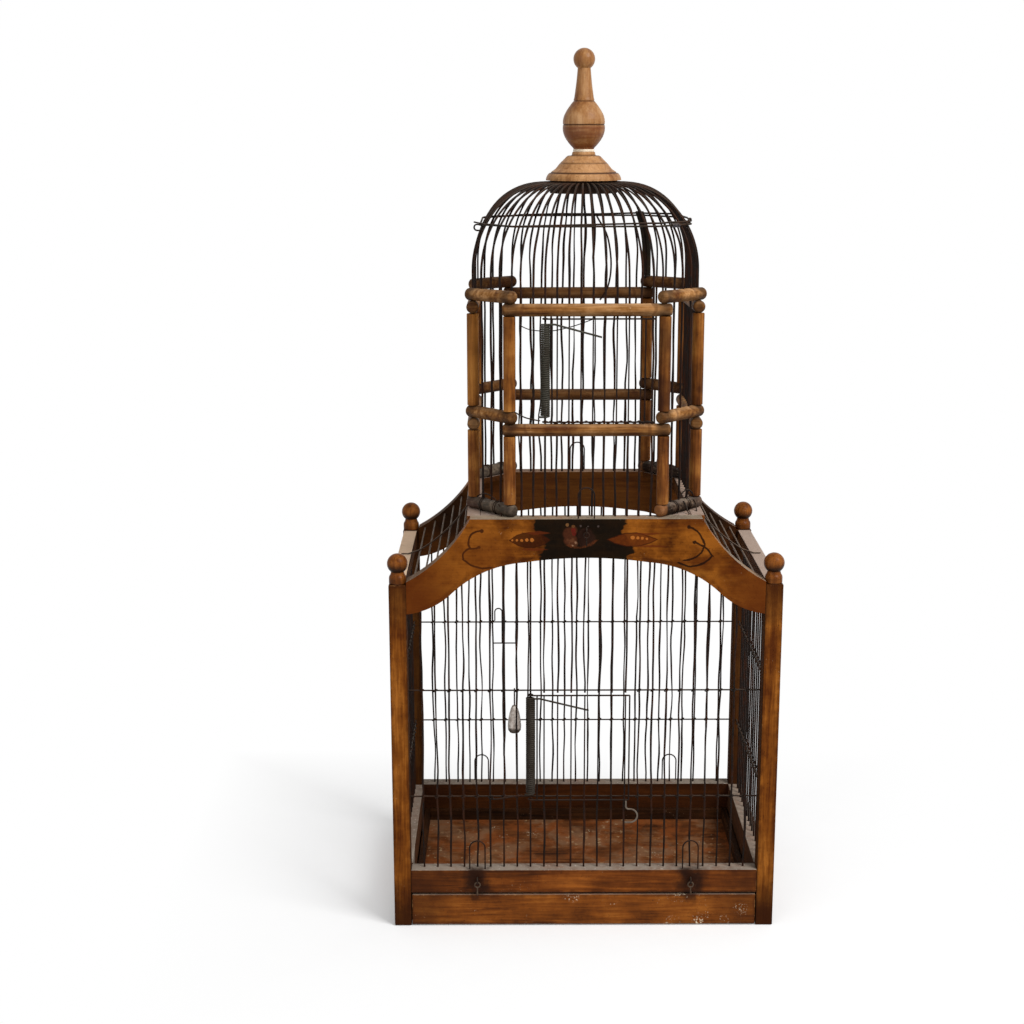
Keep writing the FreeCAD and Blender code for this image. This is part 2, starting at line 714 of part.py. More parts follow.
def feeder_arch(x, y, low, half, rise):
    """Wire arch whose two legs stand in the wood."""
    foot = low - HOLE_DEPTH
    spring = low + rise - half
    return tube([line(vec(x - half, y, foot), vec(x - half, y, spring)),
                 arc(vec(x - half, y, spring), vec(x, y, low + rise), vec(x + half, y, spring)),
                 line(vec(x + half, y, spring), vec(x + half, y, foot))], THIN_RADIUS)


def arch_holes(x, y, low, half):
    return [hole(vec(x + s * half, y, low - HOLE_DEPTH), vec(x + s * half, y, low + 4), THIN_RADIUS)
            for s in (-1, 1)]


def hook_eye(x, z):
    """Screw eye in a front face; the ring stands upright, square to the face."""
    centre = vec(x, -HALF_D - HOOK_EYE - 1.7, z)
    ring = Part.makeTorus(HOOK_EYE, THIN_RADIUS, centre, vec(1, 0, 0))
    shank = rod(vec(x, centre.y + HOOK_EYE, z), vec(x, -HALF_D + 5.0, z), THIN_RADIUS - 0.02)
    return ring.fuse(shank)


def eye_hole(x, z):
    return hole(vec(x, -HALF_D - 3.0, z), vec(x, -HALF_D + 5.0, z), THIN_RADIUS)


def swing_hook(x, z):
    """Hook that hangs by its own ring from a screw eye."""
    y = -HALF_D - HOOK_EYE - 1.7
    ring_z = z - HOOK_EYE + 2 * THIN_RADIUS + HOOK_LINK_GAP - HOOK_RING
    ring = Part.makeTorus(HOOK_RING, THIN_RADIUS, vec(x, y, ring_z), vec(0, 1, 0))
    top = ring_z - HOOK_RING
    bend = top - 4.5
    tip = y - 2 * HOOK_CURL
    stem = tube([line(vec(x, y, top), vec(x, y, bend)),
                 arc(vec(x, y, bend), vec(x, y - HOOK_CURL, bend - HOOK_CURL), vec(x, tip, bend)),
                 line(vec(x, tip, bend), vec(x, tip, bend + 2.0))],
                THIN_RADIUS - 0.02)
    return ring.fuse(stem)


def treat_hook():
    """Bent wire that swings on the back cross wire: an arch above, a stem and a cross arm below."""
    wire_y = BAR_Y - CROSS_OFFSET
    z = CROSS_LEVELS[1]
    gap = (FRONT_BAR_X[5] + FRONT_BAR_X[6]) / 2
    half = 4.0
    x = gap + half
    plane = wire_y - CROSS_RADIUS - 0.1 - THIN_RADIUS
    eye = Part.makeTorus(CROSS_RADIUS + 0.1 + THIN_RADIUS, THIN_RADIUS, vec(x, wire_y, z), vec(1, 0, 0))
    spring = z + 12
    body = tube([line(vec(gap - half, plane, z + 2), vec(gap - half, plane, spring)),
                 arc(vec(gap - half, plane, spring), vec(gap, plane, spring + half), vec(x, plane, spring)),
                 line(vec(x, plane, spring), vec(x, plane, z - 24))], THIN_RADIUS - 0.02)
    corner = 2.0
    right = x + 16
    arm = tube([line(vec(x - 10, plane, z - 24), vec(right - corner, plane, z - 24)),
                arc(vec(right - corner, plane, z - 24),
                    vec(right - corner + corner * math.sin(math.pi / 4), plane,
                        z - 24 + corner * (1 - math.cos(math.pi / 4))),
                    vec(right, plane, z - 24 + corner)),
                line(vec(right, plane, z - 24 + corner), vec(right, plane, z - 17))], THIN_RADIUS)
    return eye.fuse(body).fuse(arm)


def pendant():
    """Pear-shaped weight on a bent wire, swinging on the front cross wire inside the bars."""
    wire_y = -BAR_Y + CROSS_OFFSET
    z = FRONT_CROSS_LEVELS[1]
    x = FRONT_BAR_X[7] - 2.5
    body_y = wire_y + 6.1
    eye_r = CROSS_RADIUS + 0.1 + THIN_RADIUS
    eye = Part.makeTorus(eye_r, THIN_RADIUS, vec(x, wire_y, z), vec(1, 0, 0))
    stem = tube([line(vec(x, wire_y + eye_r, z), vec(x, wire_y + eye_r, z - 6)),
                 line(vec(x, wire_y + eye_r, z - 6), vec(x, body_y, z - 14)),
                 line(vec(x, body_y, z - 14), vec(x, body_y, z - 22))], THIN_RADIUS - 0.02)
    profile = [(0, z - 46), (4.6, z - 45.4), (6.3, z - 43), (6.7, z - 39), (6.2, z - 33), (5.0, z - 26)]
    profile += [(3.6, z - 21), (2.2, z - 18), (0, z - 17.4)]
    drop = turned(profile)
    drop.translate(vec(x, body_y, 0))
    return eye.fuse(stem).fuse(drop)


# Build the base

bar_holes = base_bar_holes()
side_cross_holes = [side_cross(z, HOLE_GAP) for z in CROSS_LEVELS]
front_cross_holes = [front_cross(z, HOLE_GAP) for z in FRONT_CROSS_LEVELS]
back_cross_holes = [front_cross(z, HOLE_GAP) for z in CROSS_LEVELS]
side_holes = [side_bar(y, BAR_RADIUS, HOLE_GAP) for y in SIDE_BAR_Y]
roof_holes = [roof_wire(i, HOLE_GAP) for i in range(ROOF_WIRE_COUNT)]
roof_holes += [mirror_x(h) for h in roof_holes]
tower_bores = tower_holes()

rail_y = -HALF_D + ARCH_SETBACK
base_arch_x = [-FRONT_PITCH * ARCH_X, FRONT_PITCH * ARCH_X]
base_eye_z = RAIL_TOP - EYE_DROP
board_eye_z = BOARD_TOP - EYE_DROP - 1.0
feeder_holes = []
for arch_x in base_arch_x:
    feeder_holes += arch_holes(arch_x, rail_y, RAIL_TOP, ARCH_HALF)
    feeder_holes.append(eye_hole(arch_x, base_eye_z))
feeder_holes += arch_holes(0.0, rail_y, BOARD_TOP, ARCH_HALF)
feeder_holes.append(eye_hole(0.0, board_eye_z))

post = box(-HALF_W, -IN_X, -HALF_D, -IN_Y, 0, POST_HEIGHT)
front_post = drilled(post, front_cross_holes + side_cross_holes)
back_post = mirror_y(drilled(post, back_cross_holes + side_cross_holes))
save("corner_post_front_left", front_post)
save("corner_post_front_right", mirror_x(front_post))
save("corner_post_back_left", back_post)
save("corner_post_back_right", mirror_x(back_post))

centre_x = HALF_W - POST_SIZE / 2
centre_y = HALF_D - POST_SIZE / 2
save("corner_ball_finials", [corner_ball(sx * centre_x, sy * centre_y) for sx in (-1, 1) for sy in (-1, 1)])

front_rail = box(-IN_X, IN_X, -HALF_D, -HALF_D + RAIL_THICK, FRONT_RAIL_BOTTOM, RAIL_TOP)
save("front_rail", drilled(front_rail, bar_holes + feeder_holes))
back_rail = box(-IN_X, IN_X, -HALF_D, -HALF_D + RAIL_THICK, 0, RAIL_TOP)
save("back_rail", mirror_y(drilled(back_rail, bar_holes + feeder_holes)))
side_rail = box(-HALF_W + 2, -HALF_W + 2 + RAIL_THICK, -IN_Y, IN_Y, 0, RAIL_TOP)
side_rail = drilled(side_rail, side_holes)
save("left_side_rail", side_rail)
save("right_side_rail", mirror_x(side_rail))

rail_inner = HALF_W - 2 - RAIL_THICK
tray_bottom = TRAY_FLOOR_TOP - TRAY_FLOOR_THICK
runner_top = tray_bottom - RUNNER_GAP
runner_bottom = runner_top - RUNNER_HEIGHT
runner = box(-rail_inner, -rail_inner + RUNNER_WIDTH, -IN_Y, IN_Y, runner_bottom, runner_top, 0.5)
save("tray_runners", [runner, mirror_x(runner)])

board = arch_board()
board = drilled(board, bar_holes + roof_holes + tower_bores + feeder_holes)
save("front_arch_board", board)
save("back_arch_board", mirror_y(board))

eave = box(-HALF_W + 1, -HALF_W + 1 + EAVE_WIDTH, -IN_Y, IN_Y, POST_HEIGHT - EAVE_HEIGHT, POST_HEIGHT)
eave = drilled(eave, side_holes)
save("left_eave_rail", eave)
save("right_eave_rail", mirror_x(eave))

sill_x = TOWER_HALF_WIDTH - SILL_WIDTH / 2
sill_y = HALF_D - BOARD_THICK
sill = box(-sill_x - SILL_WIDTH, -sill_x, -sill_y, sill_y, BOARD_TOP - SILL_HEIGHT, BOARD_TOP)
sill = drilled(sill, tower_bores)
save("left_tower_sill", sill)
save("right_tower_sill", mirror_x(sill))

# Build the tray

tray_half = rail_inner - TRAY_GAP
tray_front_y = -HALF_D + TRAY_FRONT_THICK
tray_back_y = HALF_D - RAIL_THICK - 2.0
front_half = IN_X - 0.7
tray_board = box(-front_half, front_half, -HALF_D, tray_front_y, TRAY_FRONT_BOTTOM, TRAY_FRONT_TOP, 1.2)
save("tray_front", tray_board)
save("tray_floor", box(-tray_half, tray_half, tray_front_y, tray_back_y, tray_bottom, TRAY_FLOOR_TOP, 0.4))
wall_x = -tray_half + TRAY_WALL
tray_side = box(-tray_half, wall_x, tray_front_y, tray_back_y, TRAY_FLOOR_TOP, TRAY_WALL_TOP, 0.6)
save("tray_side_left", tray_side)
save("tray_side_right", mirror_x(tray_side))
save("tray_back", box(-tray_half + TRAY_WALL, tray_half - TRAY_WALL, tray_back_y - TRAY_WALL, tray_back_y,
                      TRAY_FLOOR_TOP, TRAY_WALL_TOP, 0.6))

# Build the wires of the base and roof

save("front_bars", base_bars(FRONT_CROSS_LEVELS[0] + 2.0, FRONT_CROSS_LEVELS[1] - 2.0))
save("back_bars", [mirror_y(b) for b in base_bars()])
left_bars = [side_bar(y, BAR_RADIUS, 0) for y in SIDE_BAR_Y]
save("left_bars", left_bars)
save("right_bars", [mirror_x(b) for b in left_bars])
fronts = [front_cross(z, 0) for z in FRONT_CROSS_LEVELS]
backs = [mirror_y(front_cross(z, 0)) for z in CROSS_LEVELS]
lefts = [side_cross(z, 0) for z in CROSS_LEVELS]
save("front_back_cross_wires", fronts + backs)
save("side_cross_wires", lefts + [mirror_x(w) for w in lefts])
left_roof = [roof_wire(i, 0) for i in range(ROOF_WIRE_COUNT)]
save("roof_wires", left_roof + [mirror_x(w) for w in left_roof])
stiffener = slope_wire()
save("roof_slope_wires", [stiffener, mirror_x(stiffener)])

# Build the tower and dome

lower_low = FOOT_ROD_Z + ROD_RADIUS
lower_high = MID_ROD_Z - ROD_RADIUS
upper_low = MID_ROD_Z + 3 * ROD_RADIUS
upper_high = TOP_ROD_Z - ROD_RADIUS
save("tower_foot_rods", [drilled(tower_rod(i, FOOT_ROD_Z, 0.0), tower_bores) for i in (1, 3, 5, 7)])
save("tower_lower_posts", [drilled(p, tower_bores) for p in tower_posts(lower_low, lower_high)])
save("tower_mid_rods", [drilled(r, tower_bores) for r in tower_level(MID_ROD_Z)])
upper_posts = tower_posts(upper_low, upper_high, TOP_RING_FALL)
save("tower_upper_posts", [drilled(p, tower_bores) for p in upper_posts])
save("tower_top_rods", [drilled(r, tower_bores) for r in tower_level(TOP_ROD_Z, TOP_RING_FALL)])
save("tower_corner_pins", corner_pins())
save("tower_front_bars", tower_face_bars(0))
save("tower_back_bars", tower_face_bars(4))
save("tower_side_bars", tower_face_bars(2) + tower_face_bars(6))
save("tower_corner_bars", tower_face_bars(1) + tower_face_bars(3) + tower_face_bars(5) + tower_face_bars(7))
save("dome_hoop", dome_hoop())
save("dome_stay", dome_stay())
crown = Part.makeCylinder(CROWN_RADIUS, CROWN_TOP - CROWN_BOTTOM, vec(0, 0, CROWN_BOTTOM))
save("crown_block", drilled(crown, crown_holes()))
save("finial_cap", finial_cap())
save("cap_washer", cap_washer())
save("spire_finial", spire_finial())

# Build the doors

lower_hinge = vec(FRONT_BAR_X[LOWER_DOOR_HINGE_BAR], -BAR_Y, 0)
lower_grille = door_grille(lower_hinge, LOWER_DOOR_SPAN, 0.0, LOWER_DOOR_BARS, FRONT_PITCH, LOWER_DOOR_Z)
save("lower_door_grille", lower_grille)
save("lower_door_pull", pull_loop(lower_hinge, LOWER_DOOR_SPAN, LOWER_DOOR_Z[0]))
lower_coil, lower_path = coil_spring(lower_hinge, LOWER_COIL_Z, LOWER_COIL_TURNS, 48.0, 12.0)
save("lower_door_spring", lower_coil)
upper_hinge = vec(TOWER_BAR_X[UPPER_DOOR_HINGE_BAR], -TOWER_HALF_DEPTH, 0)
upper_grille = door_grille(upper_hinge, UPPER_DOOR_SPAN, 10.0, UPPER_DOOR_BARS, UPPER_PITCH, UPPER_DOOR_Z)
save("upper_door_grille", upper_grille)
upper_coil, upper_path = coil_spring(upper_hinge, UPPER_COIL_Z, UPPER_COIL_TURNS, 44.0, 12.0)
save("upper_door_spring", upper_coil)
print("least gap of lower spring", round(least_gap(lower_path, COIL_WIRE), 3))
print("least gap of upper spring", round(least_gap(upper_path, COIL_WIRE), 3))

# Build the feeder arches, hooks, treat hook and pendant

arches = [feeder_arch(x, rail_y, RAIL_TOP, ARCH_HALF, ARCH_RISE) for x in base_arch_x]
arches.append(feeder_arch(0.0, rail_y, BOARD_TOP, ARCH_HALF, ARCH_RISE))
save("feeder_arches", arches + [mirror_y(a) for a in arches])
eyes = [hook_eye(x, base_eye_z) for x in base_arch_x] + [hook_eye(0.0, board_eye_z)]
save("hook_eyes", eyes + [mirror_y(e) for e in eyes])
hook_left = swing_hook(base_arch_x[0], base_eye_z)
hook_right = swing_hook(base_arch_x[1], base_eye_z)
hook_board = swing_hook(0.0, board_eye_z)
save("front_left_hook", hook_left)
save("front_right_hook", hook_right)
save("front_board_hook", hook_board)
save("back_left_hook", mirror_y(hook_left))
save("back_right_hook", mirror_y(hook_right))
save("back_board_hook", mirror_y(hook_board))
save("treat_hook", treat_hook())
save("pendant", pendant())
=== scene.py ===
"""Looks of a wooden bird cage with a domed wire tower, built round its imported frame."""

import logging
import math
from dataclasses import dataclass, replace
from enum import Enum
from typing import Any, Optional, Union

import bpy
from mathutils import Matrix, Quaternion, Vector


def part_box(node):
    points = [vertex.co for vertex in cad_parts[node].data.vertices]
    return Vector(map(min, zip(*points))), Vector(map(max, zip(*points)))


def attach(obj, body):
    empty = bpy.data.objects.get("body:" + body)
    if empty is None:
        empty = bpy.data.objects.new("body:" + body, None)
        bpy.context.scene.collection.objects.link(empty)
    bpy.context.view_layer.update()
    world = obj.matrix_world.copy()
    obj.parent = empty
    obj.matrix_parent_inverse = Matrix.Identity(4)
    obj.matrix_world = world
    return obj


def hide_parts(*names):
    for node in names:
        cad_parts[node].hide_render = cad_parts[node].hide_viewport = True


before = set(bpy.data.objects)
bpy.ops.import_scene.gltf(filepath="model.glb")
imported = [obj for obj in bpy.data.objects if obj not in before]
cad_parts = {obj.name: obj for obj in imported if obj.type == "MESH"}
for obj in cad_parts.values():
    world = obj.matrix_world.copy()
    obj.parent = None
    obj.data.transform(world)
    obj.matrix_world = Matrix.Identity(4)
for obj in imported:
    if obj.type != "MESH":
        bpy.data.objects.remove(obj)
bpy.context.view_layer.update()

log = logging.getLogger("bird_cage")
Colour = tuple[float, float, float, float]
Place = tuple[float, float, float]
Spot = tuple[float, float]


def tone(red: int, green: int, blue: int) -> Colour:
    """Turn a colour as the eye names it, 0 to 255, into the linear one that a shader takes.

    Args:
        red: Red part.
        green: Green part.
        blue: Blue part.

    Returns:
        Linear colour with full alpha.
    """
    def part(value: int) -> float:
        """Linear value of one part."""
        share = value / 255
        return share / 12.92 if share <= 0.04045 else ((share + 0.055) / 1.055) ** 2.4

    return part(red), part(green), part(blue), 1.0


class Way(Enum):
    """Direction in which a grain runs or a wire bends."""

    ACROSS = 0
    DEEP = 1
    UP = 2


class Signal:
    """A shader socket that takes part in Python sums."""

    def __init__(self, graph: "Graph", socket: bpy.types.NodeSocket) -> None:
        """Keep the graph and the socket."""
        self.graph = graph
        self.socket = socket

    def _sum(self, operation: str, first: "Number", second: "Number" = 0.0) -> "Signal":
        """Add one Math node."""
        return self.graph.node("ShaderNodeMath", {"operation": operation}, {0: first, 1: second})

    def __add__(self, other: "Number") -> "Signal":
        """Sum."""
        return self._sum("ADD", self, other)

    def __radd__(self, other: "Number") -> "Signal":
        """Reflected sum."""
        return self._sum("ADD", other, self)

    def __sub__(self, other: "Number") -> "Signal":
        """Difference."""
        return self._sum("SUBTRACT", self, other)

    def __rsub__(self, other: "Number") -> "Signal":
        """Reflected difference."""
        return self._sum("SUBTRACT", other, self)

    def __mul__(self, other: "Number") -> "Signal":
        """Product."""
        return self._sum("MULTIPLY", self, other)

    def __rmul__(self, other: "Number") -> "Signal":
        """Reflected product."""
        return self._sum("MULTIPLY", other, self)

    def __truediv__(self, other: "Number") -> "Signal":
        """Quotient."""
        return self._sum("DIVIDE", self, other)

    def __rtruediv__(self, other: "Number") -> "Signal":
        """Reflected quotient."""
        return self._sum("DIVIDE", other, self)

    def __pow__(self, other: "Number") -> "Signal":
        """Power."""
        return self._sum("POWER", self, other)

    def __abs__(self) -> "Signal":
        """Value without its sign."""
        return self._sum("ABSOLUTE", self)

    def least(self, other: "Number") -> "Signal":
        """Smaller of two values."""
        return self._sum("MINIMUM", self, other)

    def most(self, other: "Number") -> "Signal":
        """Larger of two values."""
        return self._sum("MAXIMUM", self, other)

    def sign(self) -> "Signal":
        """Minus one, nought or one."""
        return self._sum("SIGN", self)

    def part(self, name: str) -> "Signal":
        """Another output of the same node."""
        return Signal(self.graph, self.socket.node.outputs[name])


Number = Union[float, Signal]


class Graph:
    """Node tree of one material."""

    def __init__(self, name: str) -> None:
        """Start an empty material."""
        self.material = bpy.data.materials.new(name)
        self.material.use_nodes = True
        self.tree = self.material.node_tree
        self.tree.nodes.clear()

    def node(self, kind: str, settings: Optional[dict[str, Any]] = None,
             values: Optional[dict[Any, Any]] = None, out: Union[int, str] = 0) -> Signal:
        """Add any node.

        Args:
            kind: Node type.
            settings: Node settings, or the stops of a ramp, set first.
            values: Numbers, colours or signals for its input sockets.
            out: Output that is wanted.

        Returns:
            That output as a signal.
        """
        made = self.tree.nodes.new(kind)
        for key, value in (settings or {}).items():
            if key == "stops":
                ramp = made.color_ramp
                while len(ramp.elements) < len(value):
                    ramp.elements.new(1.0)
                for element, (where, colour) in zip(ramp.elements, value):
                    element.position = where
                    element.color = colour
            else:
                setattr(made, key, value)
        for key, value in (values or {}).items():
            if isinstance(value, Signal):
                self.tree.links.new(value.socket, made.inputs[key])
            else:
                made.inputs[key].default_value = value
        return Signal(self, made.outputs[out] if made.outputs else None)

    def where(self, seed: float = 0.0) -> Signal:
        """Object coordinates, moved on by a seed so that like pieces differ."""
        at = self.node("ShaderNodeTexCoord", out="Object")
        if not seed:
            return at
        return self.node("ShaderNodeMapping", {}, {"Vector": at, "Location": (seed, seed * 0.7, seed * 1.3)})

    def axes(self) -> tuple[Signal, Signal, Signal]:
        """The three object coordinates as values."""
        split = self.node("ShaderNodeSeparateXYZ", {}, {0: self.where()})
        return split.part("X"), split.part("Y"), split.part("Z")

    def facing(self) -> tuple[Signal, Signal, Signal]:
        """The three parts of the surface's own normal."""
        normal = self.node("ShaderNodeTexCoord", out="Normal")
        split = self.node("ShaderNodeSeparateXYZ", {}, {0: normal})
        return split.part("X"), split.part("Y"), split.part("Z")

    def stretch(self, at: Signal, scale: Place) -> Signal:
        """Coordinates drawn out along the grain."""
        return self.node("ShaderNodeMapping", {}, {"Vector": at, "Scale": scale})

    def noise(self, at: Signal, scale: float, detail: float = 3.0, rough: float = 0.5, warp: float = 0.0) -> Signal:
        """Cloudy noise from 0 to 1.

        Args:
            at: Coordinates.
            scale: Features per metre.
            detail: Octaves.
            rough: Share of the finer octaves.
            warp: Distortion.

        Returns:
            Noise value.
        """
        return self.node("ShaderNodeTexNoise", {}, {"Vector": at, "Scale": scale, "Detail": detail,
                                                    "Roughness": rough, "Distortion": warp})

    def step(self, value: Signal, low: float, high: float) -> Signal:
        """Soft step from 0 at low to 1 at high, either way round."""
        return self.node("ShaderNodeMapRange", {"interpolation_type": "SMOOTHSTEP"}, {0: value, 1: low, 2: high})

    def scale(self, value: Signal, low: float, high: float) -> Signal:
        """Straight scale from 0 at low to 1 at high."""
        return self.node("ShaderNodeMapRange", {}, {0: value, 1: low, 2: high})

    def mix(self, share: Number, first: Any, second: Any, blend: str = "MIX") -> Signal:
        """Blend two colours.

        Args:
            share: Share of the second colour.
            first: Colour below.
            second: Colour on top.
            blend: Blend type.

        Returns:
            Blended colour.
        """
        return self.node("ShaderNodeMix", {"data_type": "RGBA", "blend_type": blend},
                         {0: share, 6: first, 7: second}, 2)

    def ramp(self, value: Signal, stops: list[tuple[float, Colour]]) -> Signal:
        """Colour read from a row of stops."""
        return self.node("ShaderNodeValToRGB", {"stops": stops}, {0: value})

    def distance(self, at: Signal, place: Place) -> Signal:
        """Distance of the coordinates from a place."""
        return self.node("ShaderNodeVectorMath", {"operation": "DISTANCE"}, {0: at, 1: place}, "Value")

    def rim(self, low: Vector, high: Vector) -> Signal:
        """Distance from the nearest edge of a square-cut piece.

        Args:
            low: Lowest corner of the piece.
            high: Highest corner of the piece.

        Returns:
            Distance in metres.
        """
        gaps = []
        for value, least, most in zip(self.axes(), low, high):
            gaps.append((most - least) / 2 - abs(value - (most + least) / 2))
        first, second, third = gaps
        return first.least(second).most(first.most(second).least(third))

    def close(self, coat: "Coat", constants: Optional[dict[str, float]] = None) -> bpy.types.Material:
        """Join a coat to the surface shader.

        Args:
            coat: Colour, roughness, relief and the rest of the finish.
            constants: Values that are the same all over.

        Returns:
            The finished material.
        """
        values: dict[str, Any] = {"Base Color": coat.colour, "Roughness": coat.rough, "Metallic": coat.metal}
        values.update(constants or {})
        if coat.height is not None:
            values["Normal"] = self.node("ShaderNodeBump", {}, {"Strength": coat.strength, "Distance": coat.depth,
                                                               "Height": coat.height})
        shader = self.node("ShaderNodeBsdfPrincipled", {}, values)
        self.node("ShaderNodeOutputMaterial", {}, {"Surface": shader})
        return self.material


@dataclass
class Coat:
    """What a finish lays on a surface."""

    colour: Signal
    rough: Number
    height: Optional[Signal] = None
    metal: Number = 0.0
    depth: float = 0.0005
    strength: float = 0.6


@dataclass(frozen=True)
class StainAndPaintedLight:
    """A ragged patch round one place, used for real stains and for painted light and shade."""

    place: Place
    reach: float
    colour: Colour
    cover: float = 0.8
    flecks: float = 0.0

    def lay(self, graph: Graph, colour: Signal) -> Signal:
        """Lay the patch over a colour.

        Args:
            graph: Material under work.
            colour: Colour below.

        Returns:
            Colour with the patch laid over it.
        """
        at = graph.where()
        ragged = graph.distance(at, self.place) + graph.noise(at, 2.2 / self.reach, 4.0) * self.reach
        mask = graph.step(ragged, self.reach * 1.25, self.reach * 0.55)
        if self.flecks:
            mask = mask * graph.step(graph.noise(at, self.flecks, 4.0, 0.65), 0.58, 0.64)
        return graph.mix(mask * self.cover, colour, self.colour)


@dataclass(frozen=True)
class Varnish:
    """Aged amber varnish on straight-grained wood, with grime, dust, chips and rubbed edges, and painted shade on faces
    that turn inwards.
    """

    name: str
    dark: Colour = tone(74, 34, 8)
    body: Colour = tone(124, 68, 19)
    glow: Colour = tone(160, 98, 36)
    way: Way = Way.UP
    streaks: float = 0.55
    contrast: float = 1.0
    figure: float = 1.0
    dust: float = 0.0
    dust_tone: Colour = tone(150, 139, 126)
    patchy: float = 0.45
    chips: float = 0.25
    rubbed: float = 0.4
    grime: float = 0.6
    ends: tuple[float, float] = (0.0, 0.0)
    # Tone of the painted shade on faces that turn inwards; None leaves them unshaded.
    inside: Optional[Colour] = None
    gloss: float = 0.36
    shine: float = 0.06
    seed: float = 0.0
    low: Optional[Vector] = None
    high: Optional[Vector] = None
    stains_and_painted_light: tuple[StainAndPaintedLight, ...] = ()

    def grain(self, graph: Graph) -> Signal:
        """Coordinates drawn out along the grain."""
        scale = [1.0, 1.0, 1.0]
        scale[self.way.value] = 0.055
        return graph.stretch(graph.where(self.seed), tuple(scale))

    def paint(self, graph: Graph) -> Coat:
        """Lay the wood, all that age has put on it, and painted shade on faces that turn inwards.

        Args:
            graph: Material under work.

        Returns:
            The coat.
        """
        at, along = graph.where(self.seed), self.grain(graph)
        fine = graph.noise(along, 480.0, 4.0, 0.62)
        broad = graph.noise(along, 105.0, 3.0, 0.55, 0.6)
        cloud = graph.noise(at, 27.0, 4.0, 0.6)
        lines = (fine * 0.6 + broad * 0.8) * self.figure
        shade = (lines + cloud * (2.4 - 1.4 * self.figure) - 1.2) * self.contrast + 0.5
        colour = graph.ramp(shade, [(0.20, self.dark), (0.50, self.body), (0.80, self.glow)])
        vein = graph.step(graph.noise(along, 230.0, 5.0, 0.66, 0.3), 0.54, 0.70)
        colour = graph.mix(vein * self.streaks, colour, self.dark)
        pit = graph.step(graph.noise(at, 700.0, 2.0), 0.66, 0.74)
        colour = graph.mix(pit * 0.6, colour, tone(38, 16, 5))
        rough = self.gloss + cloud * 0.3
        if self.low is not None:
            colour = self.wear(graph, at, colour)
        if self.chips:
            zone = graph.step(graph.noise(at, 34.0, 2.0), 0.54, 0.70)
            flake = graph.step(graph.noise(at, 620.0, 2.0, 0.6), 0.66, 0.71) * zone
            colour = graph.mix(flake * self.chips, colour, tone(208, 184, 150))
        # Painted shade: faces turned towards the cage's middle are darkened to the inside tone.
        if self.inside is not None:
            x, y, _ = graph.axes()
            nx, ny, _ = graph.facing()
            inward = (0.0 - nx * x.sign()).most(0.0 - ny * y.sign())
            shadowed = graph.mix(0.6 + 0.3 * cloud, colour, self.inside)
            turned_in = graph.step(inward, 0.35, 0.75)
            colour = graph.mix(turned_in, colour, shadowed)
            rough = rough + turned_in * 0.35
        if self.dust:
            lying = graph.step(graph.facing()[2], 0.45, 0.85)
            drift = graph.step(graph.noise(at, 130.0, 5.0, 0.65) + graph.noise(at, 24.0) * 0.6, 0.52, 0.92)
            veil = lying * (1.0 - self.patchy + self.patchy * drift) * self.dust
            colour = graph.mix(veil, colour, self.dust_tone)
            lump = graph.step(graph.noise(at, 300.0, 3.0, 0.6), 0.62, 0.68) * lying * self.dust
            colour = graph.mix(lump * self.patchy * 1.3, colour, tone(214, 204, 194))
            rough = rough + veil * 0.4
        return Coat(colour, rough, fine * 0.5 + vein * -0.4 + pit * -0.5)

    def wear(self, graph: Graph, at: Signal, colour: Signal) -> Signal:
        """Darken a square-cut piece towards its edges and ends, and rub the edges pale in places.

        Args:
            graph: Material under work.
            at: Coordinates.
            colour: Wood so far.

        Returns:
            Worn wood.
        """
        rim = graph.rim(self.low, self.high)
        smudge = graph.noise(at, 75.0, 4.0, 0.6)
        soot = tone(52, 22, 6)
        colour = graph.mix(graph.step(rim + smudge * 0.009, 0.0085, 0.0042) * self.grime, colour, soot)
        axis = self.way.value
        reach = graph.axes()[axis] + (graph.noise(at, 48.0, 4.0, 0.6) - 0.5) * 0.05
        for strength, distance in zip(self.ends, (reach - self.low[axis], self.high[axis] - reach)):
            if strength:
                colour = graph.mix(graph.step(distance, 0.06, 0.008) * strength, colour, tone(46, 20, 6))
        ragged = rim + graph.noise(at, 260.0, 3.0) * 0.0026
        rub = graph.step(ragged, 0.0021, 0.0010) * graph.step(graph.noise(at, 48.0, 2.0), 0.42, 0.60)
        return graph.mix(rub * self.rubbed, colour, tone(192, 142, 88))

    def decorate(self, graph: Graph, coat: Coat) -> Coat:
        """Add nothing more to plain wood."""
        return coat

    def material(self) -> bpy.types.Material:
        """Build the finish as a material."""
        graph = Graph(self.name)
        coat = self.decorate(graph, self.paint(graph))
        # Real stains, painted shade and painted light, laid last.
        for stain in self.stains_and_painted_light:
            coat.colour = stain.lay(graph, coat.colour)
        return graph.close(coat, {"Specular IOR Level": self.shine})


